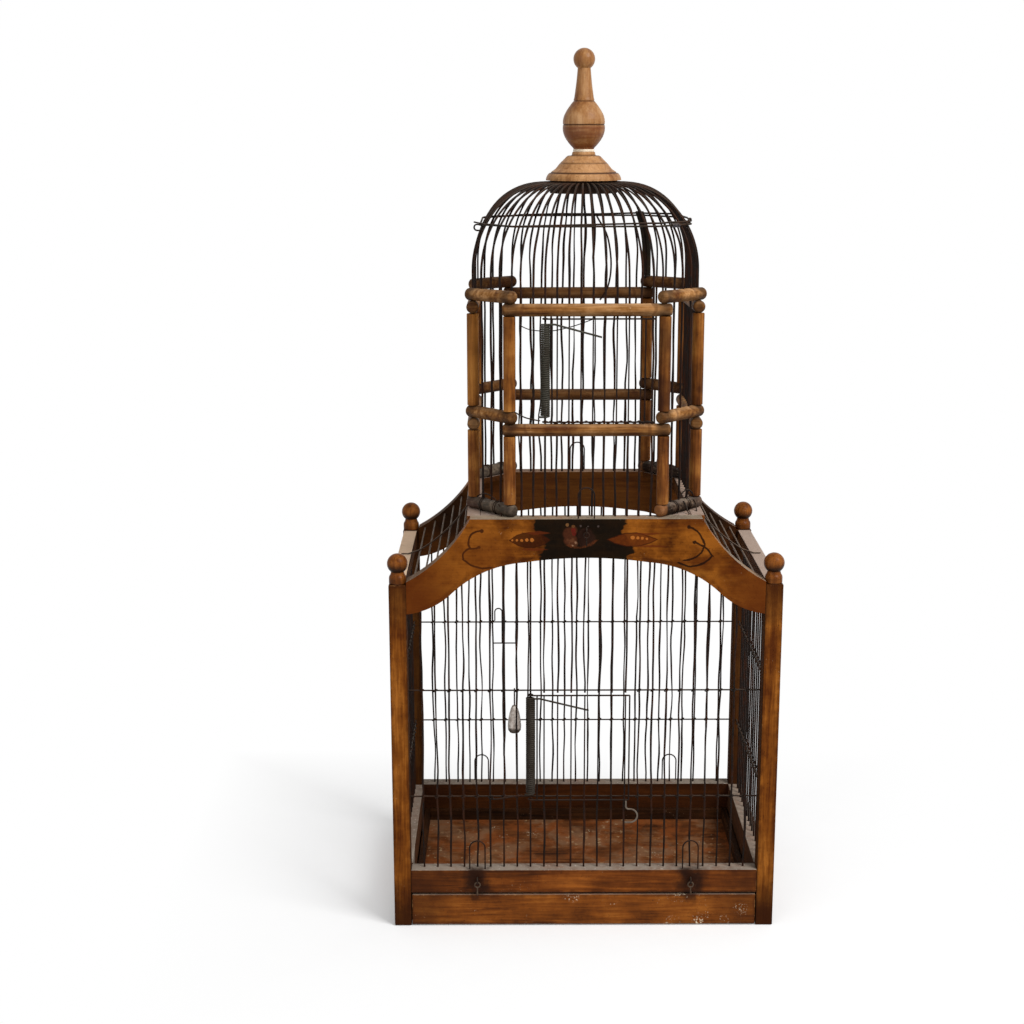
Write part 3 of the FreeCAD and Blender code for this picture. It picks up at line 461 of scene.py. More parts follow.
@dataclass(frozen=True)
class Stroke:
    """One painted line, an arc from start to end through a middle point, in millimetres."""

    start: Spot
    middle: Spot
    end: Spot
    width: float = 1.3

    def mask(self, graph: Graph, at: Signal) -> Signal:
        """Where the brush touched.

        Args:
            graph: Material under work.
            at: Coordinates with no depth.

        Returns:
            Mask from 0 to 1.
        """
        (ax, az), (bx, bz), (cx, cz) = self.start, self.middle, self.end
        twice = 2 * (ax * (bz - cz) + bx * (cz - az) + cx * (az - bz))
        a2, b2, c2 = ax * ax + az * az, bx * bx + bz * bz, cx * cx + cz * cz
        ux = (a2 * (bz - cz) + b2 * (cz - az) + c2 * (az - bz)) / twice
        uz = (a2 * (cx - bx) + b2 * (ax - cx) + c2 * (bx - ax)) / twice
        radius = math.hypot(ax - ux, az - uz) / 1000
        off = abs(graph.distance(at, (ux / 1000, 0.0, uz / 1000)) - radius)
        line = graph.step(off, self.width / 1000, self.width / 2200)
        normal = Vector((-(cz - az), 0.0, cx - ax)).normalized()
        if normal.x * (bx - ax) + normal.z * (bz - az) < 0:
            normal.negate()
        side = graph.node("ShaderNodeVectorMath", {"operation": "DOT_PRODUCT"}, {0: at, 1: normal[:]}, "Value")
        edge = (normal.x * ax + normal.z * az) / 1000
        return line * graph.step(side, edge - 0.0006, edge)


@dataclass(frozen=True)
class PaintedBoard(Varnish):
    """Varnished board with a folk flower spray painted on its front face."""

    scrolls: tuple[Stroke, ...] = (
        Stroke((-99.7, 408.5), (-112.3, 400.0), (-110.5, 391.3)),
        Stroke((-110.5, 391.3), (-106.5, 391.2), (-102.5, 393.0)),
        Stroke((-110.5, 391.3), (-117.8, 386.0), (-117.4, 380.3)),
        Stroke((-117.4, 380.3), (-107.5, 374.0), (-91.0, 372.6)),
        Stroke((97.9, 412.2), (109.4, 403.2), (113.0, 394.9)),
        Stroke((113.0, 394.9), (109.4, 386.6), (93.0, 379.4)),
        Stroke((103.5, 397.0), (115.4, 390.4), (120.6, 383.8)),
        Stroke((120.6, 383.8), (113.0, 376.6), (88.0, 377.4)),
    )
    buds: tuple[tuple[float, float, float], ...] = (
        (-99.7, 408.5, 2.2), (-102.5, 392.9, 1.7), (97.9, 412.2, 2.2), (103.5, 397.0, 2.0))
    seeds: tuple[tuple[float, float, float], ...] = (
        (-70.6, 399.4, 1.2), (-66.2, 399.2, 1.3), (-61.6, 399.4, 1.5), (-56.9, 399.7, 1.8), (-51.8, 399.7, 2.1),
        (44.3, 402.0, 2.2), (49.2, 401.6, 1.8), (53.6, 401.3, 1.6), (57.9, 400.9, 1.4))
    pearls: tuple[tuple[float, float, float], ...] = (
        (-18.3, 414.2, 2.0), (-12.6, 413.1, 1.7), (-5.6, 413.3, 1.2), (1.6, 413.0, 0.9), (11.2, 412.8, 1.2))

    arches: tuple[tuple[Spot, Spot, Spot], ...] = (
        ((-173.0, 326.0), (-150.0, 332.5), (-128.0, 348.0)), ((-128.0, 348.0), (-101.0, 366.5), (-60.0, 377.5)),
        ((-60.0, 377.5), (0.0, 382.0), (60.0, 377.5)), ((60.0, 377.5), (101.0, 366.5), (128.0, 348.0)),
        ((128.0, 348.0), (150.0, 332.5), (173.0, 326.0)))
    left_edge: tuple[Spot, ...] = (
        (384.0, -46.5), (392.0, -42.0), (398.5, -38.5), (403.0, -41.5), (406.5, -48.0), (419.0, -49.5))
    right_edge: tuple[Spot, ...] = (
        (384.0, 39.0), (387.5, 47.0), (396.0, 42.5), (403.0, 38.5), (408.9, 33.7), (414.0, 36.0), (420.0, 39.0))

    def outline(self, graph: Graph, rise: Signal, rows: tuple[Spot, ...]) -> Signal:
        """Place of one side of the dark ground at each height.

        Args:
            graph: Material under work.
            rise: Height from 0 at the foot of the ground to 1 at its top.
            rows: Height and place in millimetres, from the foot up.

        Returns:
            Place in metres.
        """
        stops = []
        for height, place in rows:
            share = (place + 60.0) / 120.0
            stops.append(((height - 384.0) / 36.0, (share, share, share, 1.0)))
        grey = graph.node("ShaderNodeRGBToBW", {}, {0: graph.ramp(rise, stops)})
        return grey * 0.12 - 0.06

    def dots(self, graph: Graph, at: Signal, rows: tuple[tuple[float, float, float], ...]) -> Signal:
        """Mask of a set of round dots.

        Args:
            graph: Material under work.
            at: Coordinates with no depth.
            rows: Place and radius of each dot in millimetres.

        Returns:
            Mask from 0 to 1.
        """
        nearest = None
        for x, z, radius in rows:
            share = graph.distance(at, (x / 1000, 0.0, z / 1000)) / (radius / 1000)
            nearest = share if nearest is None else nearest.least(share)
        return graph.step(nearest, 1.05, 0.7)

    def lens(self, graph: Graph, at: Signal, middle: Spot, half: Spot) -> Signal:
        """Distance measure of a pod with two pointed ends, 1 on its outline.

        Args:
            graph: Material under work.
            at: Coordinates with no depth.
            middle: Centre in millimetres.
            half: Half length and half height in millimetres.

        Returns:
            Value that is under 1 inside the pod.
        """
        split = graph.node("ShaderNodeSeparateXYZ", {}, {0: at})
        reach = (split.part("X") - middle[0] / 1000) / (half[0] / 1000)
        rise = abs(split.part("Z") - middle[1] / 1000) / (half[1] / 1000)
        return rise + reach * reach

    def decorate(self, graph: Graph, coat: Coat) -> Coat:
        """Paint the dark ground, two pods, the flower and the scrolls.

        Args:
            graph: Material under work.
            coat: Bare board.

        Returns:
            Painted board.
        """
        flat = graph.node("ShaderNodeVectorMath", {"operation": "MULTIPLY"}, {0: graph.where(), 1: (1.0, 0.0, 1.0)})
        shaky = graph.node("ShaderNodeTexNoise", {}, {"Vector": flat, "Scale": 120.0, "Detail": 3.0}, "Color")
        drift = graph.node("ShaderNodeVectorMath", {"operation": "MULTIPLY_ADD"},
                           {0: shaky, 1: (0.0026, 0.0, 0.0026), 2: (-0.0013, 0.0, -0.0013)})
        at = graph.node("ShaderNodeVectorMath", {"operation": "ADD"}, {0: flat, 1: drift})
        front = graph.step(0.0 - graph.facing()[1], 0.6, 0.9)
        split = graph.node("ShaderNodeSeparateXYZ", {}, {0: at})
        ragged = graph.noise(graph.stretch(flat, (0.35, 1.0, 1.0)), 110.0, 4.0, 0.6) - 0.5
        x, rise = split.part("X"), graph.scale(split.part("Z"), 0.384, 0.420)
        left, right = self.outline(graph, rise, self.left_edge), self.outline(graph, rise, self.right_edge)
        ground = graph.step(x - left + ragged * 0.018, -0.0012, 0.0010)
        ground = ground * graph.step(right - x + ragged * 0.018, -0.0012, 0.0010)
        colour = coat.colour

        def lay(mask: Signal, paint: Any, cover: float = 0.92) -> None:
            """Lay one paint over the board where the mask is."""
            nonlocal colour
            colour = graph.mix(mask * front * cover, colour, paint)

        blotch = graph.step(graph.noise(graph.stretch(flat, (0.45, 1.0, 1.0)), 34.0, 4.0, 0.62, 0.5), 0.50, 0.68)
        lay(blotch, tone(74, 32, 8), 0.55)
        worn = graph.step(graph.noise(graph.stretch(graph.where(0.37), (0.3, 1.0, 1.0)), 46.0, 4.0, 0.6), 0.56, 0.72)
        lay(worn, tone(150, 92, 30), 0.5)
        sooty = graph.step(graph.noise(flat, 60.0, 4.0, 0.6), 0.36, 0.58)
        for first, middle, last in self.arches:
            lay(Stroke(first, middle, last, 6.0).mask(graph, at) * sooty, tone(54, 22, 6), 0.6)
        lay(graph.step(abs(split.part("X")) + ragged * 0.03, 0.112, 0.168), tone(76, 33, 8), 0.7)
        murk = graph.mix(graph.noise(flat, 240.0, 4.0), tone(7, 6, 4), tone(19, 15, 9))
        lay(ground, murk, 0.96)
        red = graph.mix(graph.noise(flat, 330.0, 3.0), tone(30, 11, 4), tone(64, 27, 8))
        amber = graph.mix(graph.noise(flat, 260.0, 3.0), tone(54, 21, 6), tone(104, 48, 13))
        for middle, half, paint in (((-54.0, 399.6), (19.5, 7.5), red), ((44.0, 399.8), (24.0, 6.6), amber)):
            pod = self.lens(graph, at, middle, half)
            lay(graph.step(pod, 1.04, 0.92), paint, 0.85)
            lay(graph.step(abs(pod - 0.98), 0.12, 0.04), tone(46, 17, 6), 0.75)
        for middle, half in (((-46.5, 406.6), (13.0, 2.2)), ((-50.0, 390.4), (15.0, 1.5)), ((62.0, 393.4), (17.0, 1.3)),
                             ((58.0, 405.6), (15.0, 1.4))):
            lay(graph.step(self.lens(graph, at, middle, half), 1.0, 0.6), tone(84, 34, 12), 0.7)
        shade = graph.noise(flat, 300.0, 3.0)
        faded = graph.step(graph.noise(flat, 210.0, 4.0, 0.65), 0.36, 0.66)
        lay(self.dots(graph, at, ((-1.0, 404.0, 8.2), (2.5, 400.0, 7.4), (-2.0, 398.0, 6.0))), tone(40, 23, 16), 0.85)
        petal = graph.mix(shade, tone(40, 18, 10), tone(80, 42, 24))
        lay(self.dots(graph, at, ((-16.5, 405.5, 6.8), (-15.0, 399.5, 7.2), (-12.5, 409.0, 4.4))), petal, 0.9)
        lay(Stroke((-17.0, 394.6), (-4.0, 392.6), (9.5, 399.4), 1.7).mask(graph, at) * faded, tone(92, 46, 20), 0.75)
        lay(self.dots(graph, at, ((-12.4, 409.0, 2.6), (-11.6, 405.8, 2.2))) * shade, tone(104, 15, 16), 0.9)
        lay(self.dots(graph, at, ((-15.0, 398.4, 4.4), (-11.0, 396.4, 3.4))) * faded, tone(108, 68, 44), 0.6)
        lay(self.dots(graph, at, ((-10.2, 397.4, 1.1), (-13.0, 394.4, 1.0))), tone(146, 112, 86), 0.6)
        lay(self.dots(graph, at, self.pearls[:1]) * shade, tone(150, 104, 62), 0.9)
        lay(self.dots(graph, at, self.pearls[1:2]) * shade, tone(116, 74, 40), 0.9)
        lay(self.dots(graph, at, self.pearls[2:]), tone(92, 78, 74), 0.4)
        lay(self.dots(graph, at, self.seeds), tone(160, 94, 38), 0.85)
        brush = self.dots(graph, at, self.buds)
        for scroll in self.scrolls:
            brush = brush.most(scroll.mask(graph, at))
        lay(brush, tone(26, 12, 7), 0.92)
        coat.colour = colour
        return coat


@dataclass(frozen=True)
class TurnedWood(Varnish):
    """Lathe-turned wood with dark lines at set heights, painted shade on undersides and on the back rods, and soil
    where the rods meet the tower's corner posts.
    """

    rings: tuple[Spot, ...] = ()
    joints: float = 0.0
    bare: float = 0.0
    underside_shade: float = 0.0
    deep: Optional[Spot] = None

    def decorate(self, graph: Graph, coat: Coat) -> Coat:
        """Add dark lines at set heights, painted shade on undersides, a deeper band, soil where rods meet the corner
        posts with painted shade on the back rods, and bare ends.

        Args:
            graph: Material under work.
            coat: Bare wood.

        Returns:
            Turned wood.
        """
        x, y, z = graph.axes()
        colour = coat.colour
        # Dark lines at set heights on the finial and cap.
        for height, cover in self.rings:
            colour = graph.mix(graph.step(abs(z - height), 0.0011, 0.0005) * cover, colour, tone(52, 24, 8))
        # Painted shade: faces that turn downwards are darkened.
        if self.underside_shade:
            below = graph.step(graph.facing()[2] + (graph.noise(graph.where(), 90.0) - 0.5) * 0.7, 0.30, -0.60)
            colour = graph.mix(below * self.underside_shade, colour, tone(24, 11, 5))
        if self.deep:
            foot, head = self.deep
            low_half = graph.step(z, head + 0.0004, head - 0.003) * graph.step(z, foot - 0.002, foot)
            band = graph.step(graph.noise(graph.stretch(graph.where(), (0.2, 0.2, 1.0)), 160.0, 3.0), 0.36, 0.62)
            colour = graph.mix(low_half * (0.35 + 0.5 * band), colour, tone(98, 48, 15))
        if self.joints:
            plan = graph.node("ShaderNodeCombineXYZ", {}, {"X": abs(x), "Y": abs(y)})
            near = graph.distance(plan, (0.073, 0.1085, 0.0)).least(graph.distance(plan, (0.108, 0.0705, 0.0)))
            soil = graph.step(near + graph.noise(graph.where(), 120.0) * 0.008, 0.0165, 0.0075)
            colour = graph.mix(soil * self.joints, colour, tone(40, 22, 12))
            band = graph.step(abs(near - 0.024 + graph.noise(graph.where(0.3), 30.0) * 0.02), 0.0022, 0.0006)
            colour = graph.mix(band * self.joints * 0.6, colour, tone(70, 36, 14))
            # Painted shade: rods towards the back are darkened, with the same strength setting as the soil at the
            # corner posts.
            back_shade = graph.step(y + graph.noise(graph.where(), 40.0) * 0.02, 0.04, 0.11)
            colour = graph.mix(back_shade * self.joints * 0.78, colour, tone(56, 30, 14))
        if self.bare:
            plan = graph.node("ShaderNodeCombineXYZ", {}, {"X": x, "Y": abs(y)})
            near = graph.distance(plan, (0.070, 0.1118, 0.0)) + graph.noise(graph.where(), 160.0, 3.0) * 0.006
            cracked = 0.55 + 0.45 * graph.noise(graph.where(), 420.0, 4.0, 0.65)
            colour = graph.mix(graph.step(near, 0.0125, 0.0085) * cracked * self.bare, colour, tone(140, 90, 52))
            dusty = graph.step(x + graph.noise(graph.where(), 70.0) * 0.05, 0.03, -0.03)
            colour = graph.mix(dusty * 0.25, colour, tone(116, 106, 92))
        coat.colour = colour
        return coat


@dataclass(frozen=True)
class SoiledFloor(Varnish):
    """Tray floor with red-brown stain, grey dirt and pale droppings."""

    droppings: tuple[tuple[float, float, float], ...] = (
        (-0.0504, 0.0604, 0.0065), (-0.0900, 0.0743, 0.005), (0.0827, 0.0043, 0.005), (0.0125, 0.0655, 0.004),
        (-0.0820, 0.0524, 0.005), (0.0558, 0.0463, 0.003), (-0.1181, 0.0366, 0.003), (0.1339, 0.0352, 0.003))

    def decorate(self, graph: Graph, coat: Coat) -> Coat:
        """Add patches of stain, a film of dirt and pale flecks.

        Args:
            graph: Material under work.
            coat: Bare wood.

        Returns:
            Soiled floor.
        """
        at = graph.where()
        patch = graph.step(graph.noise(at, 36.0, 4.0, 0.6), 0.44, 0.62)
        colour = graph.mix(patch * 0.7, coat.colour, tone(138, 74, 34))
        film = graph.step(graph.noise(at, 26.0, 5.0, 0.65, 0.5), 0.46, 0.66)
        colour = graph.mix(film * 0.75, colour, tone(132, 98, 71))
        murk = graph.step(graph.noise(at, 60.0, 4.0, 0.6), 0.54, 0.68)
        colour = graph.mix(murk * 0.35, colour, tone(56, 30, 13))
        zone = graph.step(graph.noise(at, 24.0), 0.46, 0.6)
        crumbs = graph.step(graph.noise(at, 150.0, 4.0, 0.65), 0.56, 0.68) * zone
        colour = graph.mix(crumbs * 0.8, colour, tone(178, 146, 108))
        splash = graph.step(graph.noise(at, 150.0, 4.0, 0.65), 0.70, 0.74)
        colour = graph.mix(splash * 0.85, colour, tone(228, 214, 188))
        for x, y, reach in self.droppings:
            colour = StainAndPaintedLight((x, y, 0.020), reach * 2.4, tone(236, 222, 190), 0.9, 300.0).lay(graph, colour)
        coat.colour = colour
        coat.rough = 0.72 + graph.noise(at, 90.0) * 0.2
        return coat


@dataclass(frozen=True)
class OldWire:
    """Iron wire gone brown, with rust and dust."""

    name: str
    iron: Colour = tone(20, 12, 8)
    rust: Colour = tone(60, 31, 16)
    rusty: float = 0.5
    dust: float = 0.08
    dust_tone: Colour = tone(120, 104, 88)
    metal: float = 0.05
    shine: float = 0.1
    seed: float = 0.0

    def paint(self, graph: Graph) -> Coat:
        """Lay iron, rust and dust.

        Args:
            graph: Material under work.

        Returns:
            The coat.
        """
        at = graph.where(self.seed)
        patch = graph.step(graph.noise(at, 58.0, 4.0, 0.62), 0.42, 0.66)
        grit = graph.noise(at, 900.0, 3.0, 0.6)
        colour = graph.mix(patch * self.rusty, self.iron, self.rust)
        colour = graph.mix(graph.step(grit, 0.52, 0.72) * 0.5, colour, graph.mix(0.5, self.rust, self.iron))
        veil = graph.step(graph.facing()[2], 0.1, 0.8) * (0.5 + graph.noise(at, 140.0, 3.0)) * self.dust
        colour = graph.mix(veil, colour, self.dust_tone)
        rough = 0.5 + patch * 0.25 + grit * 0.15
        return Coat(colour, rough, grit, self.metal, 0.0002, 0.5)

    def decorate(self, graph: Graph, coat: Coat) -> Coat:
        """Add nothing more to plain wire."""
        return coat

    def material(self) -> bpy.types.Material:
        """Build the finish as a material."""
        graph = Graph(self.name)
        return graph.close(self.decorate(graph, self.paint(graph)), {"Specular IOR Level": self.shine})


@dataclass(frozen=True)
class GlazedDrop(OldWire):
    """Wire hanger above a drop of grey glazed clay with a dark foot."""

    shoulder: float = 0.2277
    foot: float = 0.2045

    def decorate(self, graph: Graph, coat: Coat) -> Coat:
        """Glaze everything below the shoulder.

        Args:
            graph: Material under work.
            coat: Wire all over.

        Returns:
            Wire above, glaze below.
        """
        at = graph.where()
        z = graph.axes()[2]
        mottle = graph.noise(at, 210.0, 4.0, 0.6, 0.4)
        glaze = graph.ramp(mottle, [(0.3, tone(112, 100, 90)), (0.5, tone(168, 156, 146)), (0.72, tone(206, 198, 190))])
        ragged = z + (graph.noise(at, 160.0) - 0.5) * 0.004
        glaze = graph.mix(graph.step(ragged, self.foot + 0.002, self.foot - 0.001), glaze, tone(66, 56, 46))
        below = graph.step(z, self.shoulder + 0.0004, self.shoulder - 0.0004)
        coat.colour = graph.mix(below, coat.colour, glaze)
        coat.rough = coat.rough - below * 0.3
        coat.metal = (1.0 - below) * self.metal
        return coat


class Bench:
    """Modelling moves that all new pieces share."""

    @staticmethod
    def clear() -> None:
        """Leave edit mode and let go of everything."""
        if bpy.context.mode != "OBJECT":
            bpy.ops.object.mode_set(mode="OBJECT")
        bpy.ops.object.select_all(action="DESELECT")

    @staticmethod
    def hold(piece: bpy.types.Object) -> None:
        """Select one piece and make it the active one."""
        Bench.clear()
        piece.select_set(True)
        bpy.context.view_layer.objects.active = piece

    @staticmethod
    def edit(piece: bpy.types.Object) -> None:
        """Open a piece in edit mode with all of it selected."""
        Bench.hold(piece)
        bpy.ops.object.mode_set(mode="EDIT")
        bpy.ops.mesh.select_all(action="SELECT")

    @staticmethod
    def apply(piece: bpy.types.Object) -> None:
        """Apply every modifier of a piece."""
        Bench.hold(piece)
        for modifier in list(piece.modifiers):
            bpy.ops.object.modifier_apply(modifier=modifier.name)

    @staticmethod
    def settle(piece: bpy.types.Object) -> None:
        """Put a piece's place into its mesh and turn its faces outwards."""
        Bench.hold(piece)
        bpy.ops.object.transform_apply(location=True, rotation=True, scale=True)
        bpy.ops.object.mode_set(mode="EDIT")
        bpy.ops.mesh.select_all(action="SELECT")
        bpy.ops.mesh.normals_make_consistent(inside=False)
        bpy.ops.object.mode_set(mode="OBJECT")
        bpy.ops.object.shade_smooth()

    @staticmethod
    def pick(piece: bpy.types.Object, wanted: Any) -> None:
        """Select the vertices that a test wants, in edit mode.

        Args:
            piece: Piece open in edit mode.
            wanted: Test of a vertex's place.
        """
        bpy.ops.mesh.select_all(action="DESELECT")
        bpy.ops.object.mode_set(mode="OBJECT")
        for vertex in piece.data.vertices:
            vertex.select = bool(wanted(vertex.co))
        bpy.ops.object.mode_set(mode="EDIT")
        bpy.ops.mesh.select_mode(type="VERT")

    @staticmethod
    def copies(master: bpy.types.Object, places: list[tuple[Place, Place]], name: str) -> bpy.types.Object:
        """Copy a small piece to many places and join the copies.

        Args:
            master: Piece modelled at the origin; it is removed.
            places: Place and turn of each copy.
            name: Name of the joined piece.

        Returns:
            The joined piece.
        """
        made = []
        for place, turn in places:
            copy = master.copy()
            copy.data = master.data.copy()
            copy.location, copy.rotation_euler = place, turn
            bpy.context.collection.objects.link(copy)
            made.append(copy)
        bpy.data.objects.remove(master)
        Bench.clear()
        for copy in made:
            copy.select_set(True)
        bpy.context.view_layer.objects.active = made[0]
        bpy.ops.object.transform_apply(location=True, rotation=True, scale=True)
        bpy.ops.object.join()
        made[0].name = name
        return made[0]

    @staticmethod
    def dress(piece: bpy.types.Object, material: bpy.types.Material, body: str, slot: str) -> None:
        """Give a new piece its finish and its body.

        Args:
            piece: Finished piece.
            material: Its finish.
            body: Body that it moves with.
            slot: Material slot of the record; not used.
        """
        piece.data.materials.clear()
        piece.data.materials.append(material)
        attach(piece, body)
        log.info("piece %s rides on %s", piece.name, body)


def finish_node(node: str, material: bpy.types.Material) -> None:
    """Give a frame node its finish.

    Args:
        node: Name of the node.
        material: Its finish.
    """
    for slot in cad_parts[node].material_slots:
        slot.material = material
    log.info("node %s wears %s", node, material.name)


@dataclass
class TimberFrame:
    """Posts, rails, boards, eaves, sills and ball finials."""

    posts: tuple[str, ...] = ("front_left", "front_right", "back_left", "back_right")
    # Tone of the painted shade on inward faces.
    inner_shade: Colour = tone(30, 18, 10)

    def square(self, node: str, base: Varnish, seed: float) -> None:
        """Finish a square-cut node with wear on its own edges.

        Args:
            node: Name of the node.
            base: Finish to start from.
            seed: Number that makes this piece its own.
        """
        low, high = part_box(node)
        finish_node(node, replace(base, name=node, seed=seed, low=Vector(low), high=Vector(high)).material())

    def dress(self) -> None:
        """Finish every wooden node of the base and roof."""
        post = Varnish("post", body=tone(110, 60, 16), glow=tone(146, 88, 31), way=Way.UP, inside=self.inner_shade,
                       ends=(0.95, 0.7), rubbed=0.25, contrast=1.4, shine=0.03)
        for number, corner in enumerate(self.posts):
            self.square(f"corner_post_{corner}", post, 1.0 + number)
        ball = TurnedWood("ball", dark=tone(62, 29, 8), body=tone(100, 53, 15), glow=tone(142, 84, 33), gloss=0.2,
                          shine=0.07, streaks=0.1, chips=0.3, underside_shade=0.95)
        finish_node("corner_ball_finials", ball.material())
        rail = Varnish("rail", way=Way.ACROSS, dark=tone(54, 25, 6), body=tone(98, 49, 13), glow=tone(140, 78, 26),
                       inside=tone(48, 23, 9), dust=0.8, ends=(0.7, 0.5), streaks=0.65, rubbed=0.3)
        smears = tuple(StainAndPaintedLight((side * 0.1065 + shift, -0.121, z), 0.026, tone(34, 15, 6), 0.85)
                       for side in (-1, 1) for shift, z in ((0.001, 0.054), (-0.001, 0.047), (0.002, 0.040)))
        self.square("front_rail", replace(rail, stains_and_painted_light=smears), 3.1)
        self.square("back_rail", rail, 4.2)
        side = replace(rail, way=Way.DEEP, inside=tone(70, 48, 33), dust_tone=tone(152, 138, 124), chips=0.8)
        chalk = (StainAndPaintedLight((-0.174, -0.085, 0.058), 0.030, tone(166, 154, 140), 0.8),)
        self.square("left_side_rail", replace(side, stains_and_painted_light=chalk), 5.3)
        self.square("right_side_rail", side, 6.4)
        board = PaintedBoard("front_arch_board", way=Way.ACROSS, dark=tone(62, 28, 6), body=tone(104, 56, 13),
                             glow=tone(134, 77, 22), inside=self.inner_shade, dust=0.8, dust_tone=tone(152, 140, 122),
                             streaks=0.12, contrast=1.5, figure=0.5, chips=0.5, shine=0.02)
        deeper = (StainAndPaintedLight((-0.150, -0.121, 0.345), 0.085, tone(82, 37, 9), 0.6),
                  StainAndPaintedLight((-0.100, -0.121, 0.385), 0.055, tone(90, 43, 11), 0.45),
                  StainAndPaintedLight((0.158, -0.121, 0.340), 0.060, tone(84, 39, 10), 0.45))
        finish_node("front_arch_board", replace(board, stains_and_painted_light=deeper).material())
        # Painted shade: the back board's inner face is darkened at both ends, under the roof.
        roof_shade = tuple(StainAndPaintedLight((side * 0.145, 0.104, 0.372), 0.075, tone(20, 11, 5), 0.85) for side in (-1, 1))
        back = Varnish("back_arch_board", way=Way.ACROSS, inside=tone(44, 22, 8), dust=0.7,
                       dust_tone=tone(150, 128, 112), seed=2.7, stains_and_painted_light=roof_shade)
        finish_node("back_arch_board", back.material())
        eave = Varnish("eave", way=Way.DEEP, inside=self.inner_shade, dust=1.0, dust_tone=tone(228, 198, 168), chips=0.1,
                       patchy=0.12)
        self.square("left_eave_rail", eave, 7.5)
        self.square("right_eave_rail", replace(eave, dust_tone=tone(170, 150, 136)), 8.6)
        sill = Varnish("sill", way=Way.DEEP, inside=self.inner_shade, dust=0.9, dust_tone=tone(162, 142, 128), patchy=0.3)
        self.square("left_tower_sill", sill, 9.7)
        self.square("right_tower_sill", sill, 10.8)


@dataclass
class Tray:
    """Sliding tray and the runners under it."""

    walls: tuple[tuple[str, Way], ...] = (("tray_side_left", Way.DEEP), ("tray_side_right", Way.DEEP),
                                          ("tray_back", Way.ACROSS), ("tray_runners", Way.DEEP))

    def dress(self, timber: TimberFrame) -> None:
        """Finish the tray.

        Args:
            timber: Frame that knows how to finish square-cut wood.
        """
        front = Varnish("tray_front", way=Way.ACROSS, dark=tone(66, 31, 8), body=tone(116, 62, 18),
                        glow=tone(148, 88, 32), chips=0.7, rubbed=0.55, ends=(0.6, 0.45), dust=0.4)
        smears = tuple(StainAndPaintedLight((side * 0.1065, -0.121, 0.0315), 0.015, tone(38, 17, 7), 0.85) for side in (-1, 1))
        flecks = tuple(StainAndPaintedLight((x, -0.121, z), reach, tone(222, 204, 174), 0.9, 460.0)
                       for x, z, reach in ((0.090, 0.002, 0.013), (0.116, 0.002, 0.016), (0.097, 0.031, 0.014),
                                           (0.140, 0.003, 0.012), (0.158, 0.018, 0.012), (-0.012, 0.032, 0.012)))
        timber.square("tray_front", replace(front, stains_and_painted_light=smears + flecks), 11.9)
        floor = SoiledFloor("tray_floor", way=Way.ACROSS, dark=tone(52, 26, 11), body=tone(106, 60, 29),
                            glow=tone(140, 88, 48), gloss=0.6)
        finish_node("tray_floor", floor.material())
        # Painted shade: the tray's walls and runners are coloured near black for the shade inside the base.
        wall = Varnish("tray_wall_shade", dark=tone(24, 11, 4), body=tone(48, 26, 11), glow=tone(72, 42, 20), gloss=0.6)
        for number, (node, way) in enumerate(self.walls):
            finish_node(node, replace(wall, name=node, way=way, seed=12.0 + number).material())


@dataclass
class CoilSpring:
    """Close-wound door spring with a short lead and a long arm."""

    name: str
    node: str
    body: str
    hinge: Spot
    low: float
    turns: int
    arm: Place
    radius: float = 0.0038
    wire: float = 0.00096
    pitch: float = 0.00208
    lead: float = 0.006
    sides: int = 8
    steps: int = 14

    def build(self) -> bpy.types.Object:
        """Wind the coil and draw out its two ends.

        Returns:
            The spring.
        """
        Bench.clear()
        x, y = self.hinge
        bpy.ops.mesh.primitive_circle_add(vertices=self.sides, radius=self.wire, enter_editmode=True,
                                          location=(x, y, self.low))
        bpy.ops.transform.rotate(value=math.pi / 2, orient_axis="Y", center_override=(x, y, self.low))
        bpy.ops.transform.translate(value=(0.0, -self.radius, 0.0))
        bpy.ops.object.mode_set(mode="OBJECT")
        spring = bpy.context.active_object
        spring.name = self.name
        wind = spring.modifiers.new("wind", "SCREW")
        wind.axis, wind.angle, wind.screw_offset = "Z", 2 * math.pi, self.pitch
        wind.iterations, wind.steps, wind.render_steps = self.turns, self.steps, self.steps
        Bench.apply(spring)
        bpy.ops.object.mode_set(mode="EDIT")
        top = self.pitch * self.turns
        near = 2.5 * self.wire

        def at_end(height: float) -> Any:
            """Test for the ring of vertices at one end of the coil."""
            return lambda co: (abs(co.x) < self.wire * 0.3 and co.y < 0
                               and abs(co.z - height) < near * 0.45 and abs(co.y + self.radius) < near)

        for height, draws in ((0.0, [(-self.lead, 0.0, 0.0)]), (top, [(0.009, 0.0, 0.0001), self.arm])):
            Bench.pick(spring, at_end(height))
            for draw in draws:
                bpy.ops.mesh.extrude_region_move(TRANSFORM_OT_translate={"value": draw})
        bpy.ops.mesh.select_all(action="SELECT")
        bpy.ops.mesh.fill_holes(sides=self.sides)
        bpy.ops.object.mode_set(mode="OBJECT")
        Bench.settle(spring)
        return spring

    def place(self, material: bpy.types.Material) -> None:
        """Build the spring and let it stand for its plain form.

        Args:
            material: Its finish.
        """
        spring = self.build()
        Bench.dress(spring, material, self.body, "spring_wire")
        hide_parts(self.node)


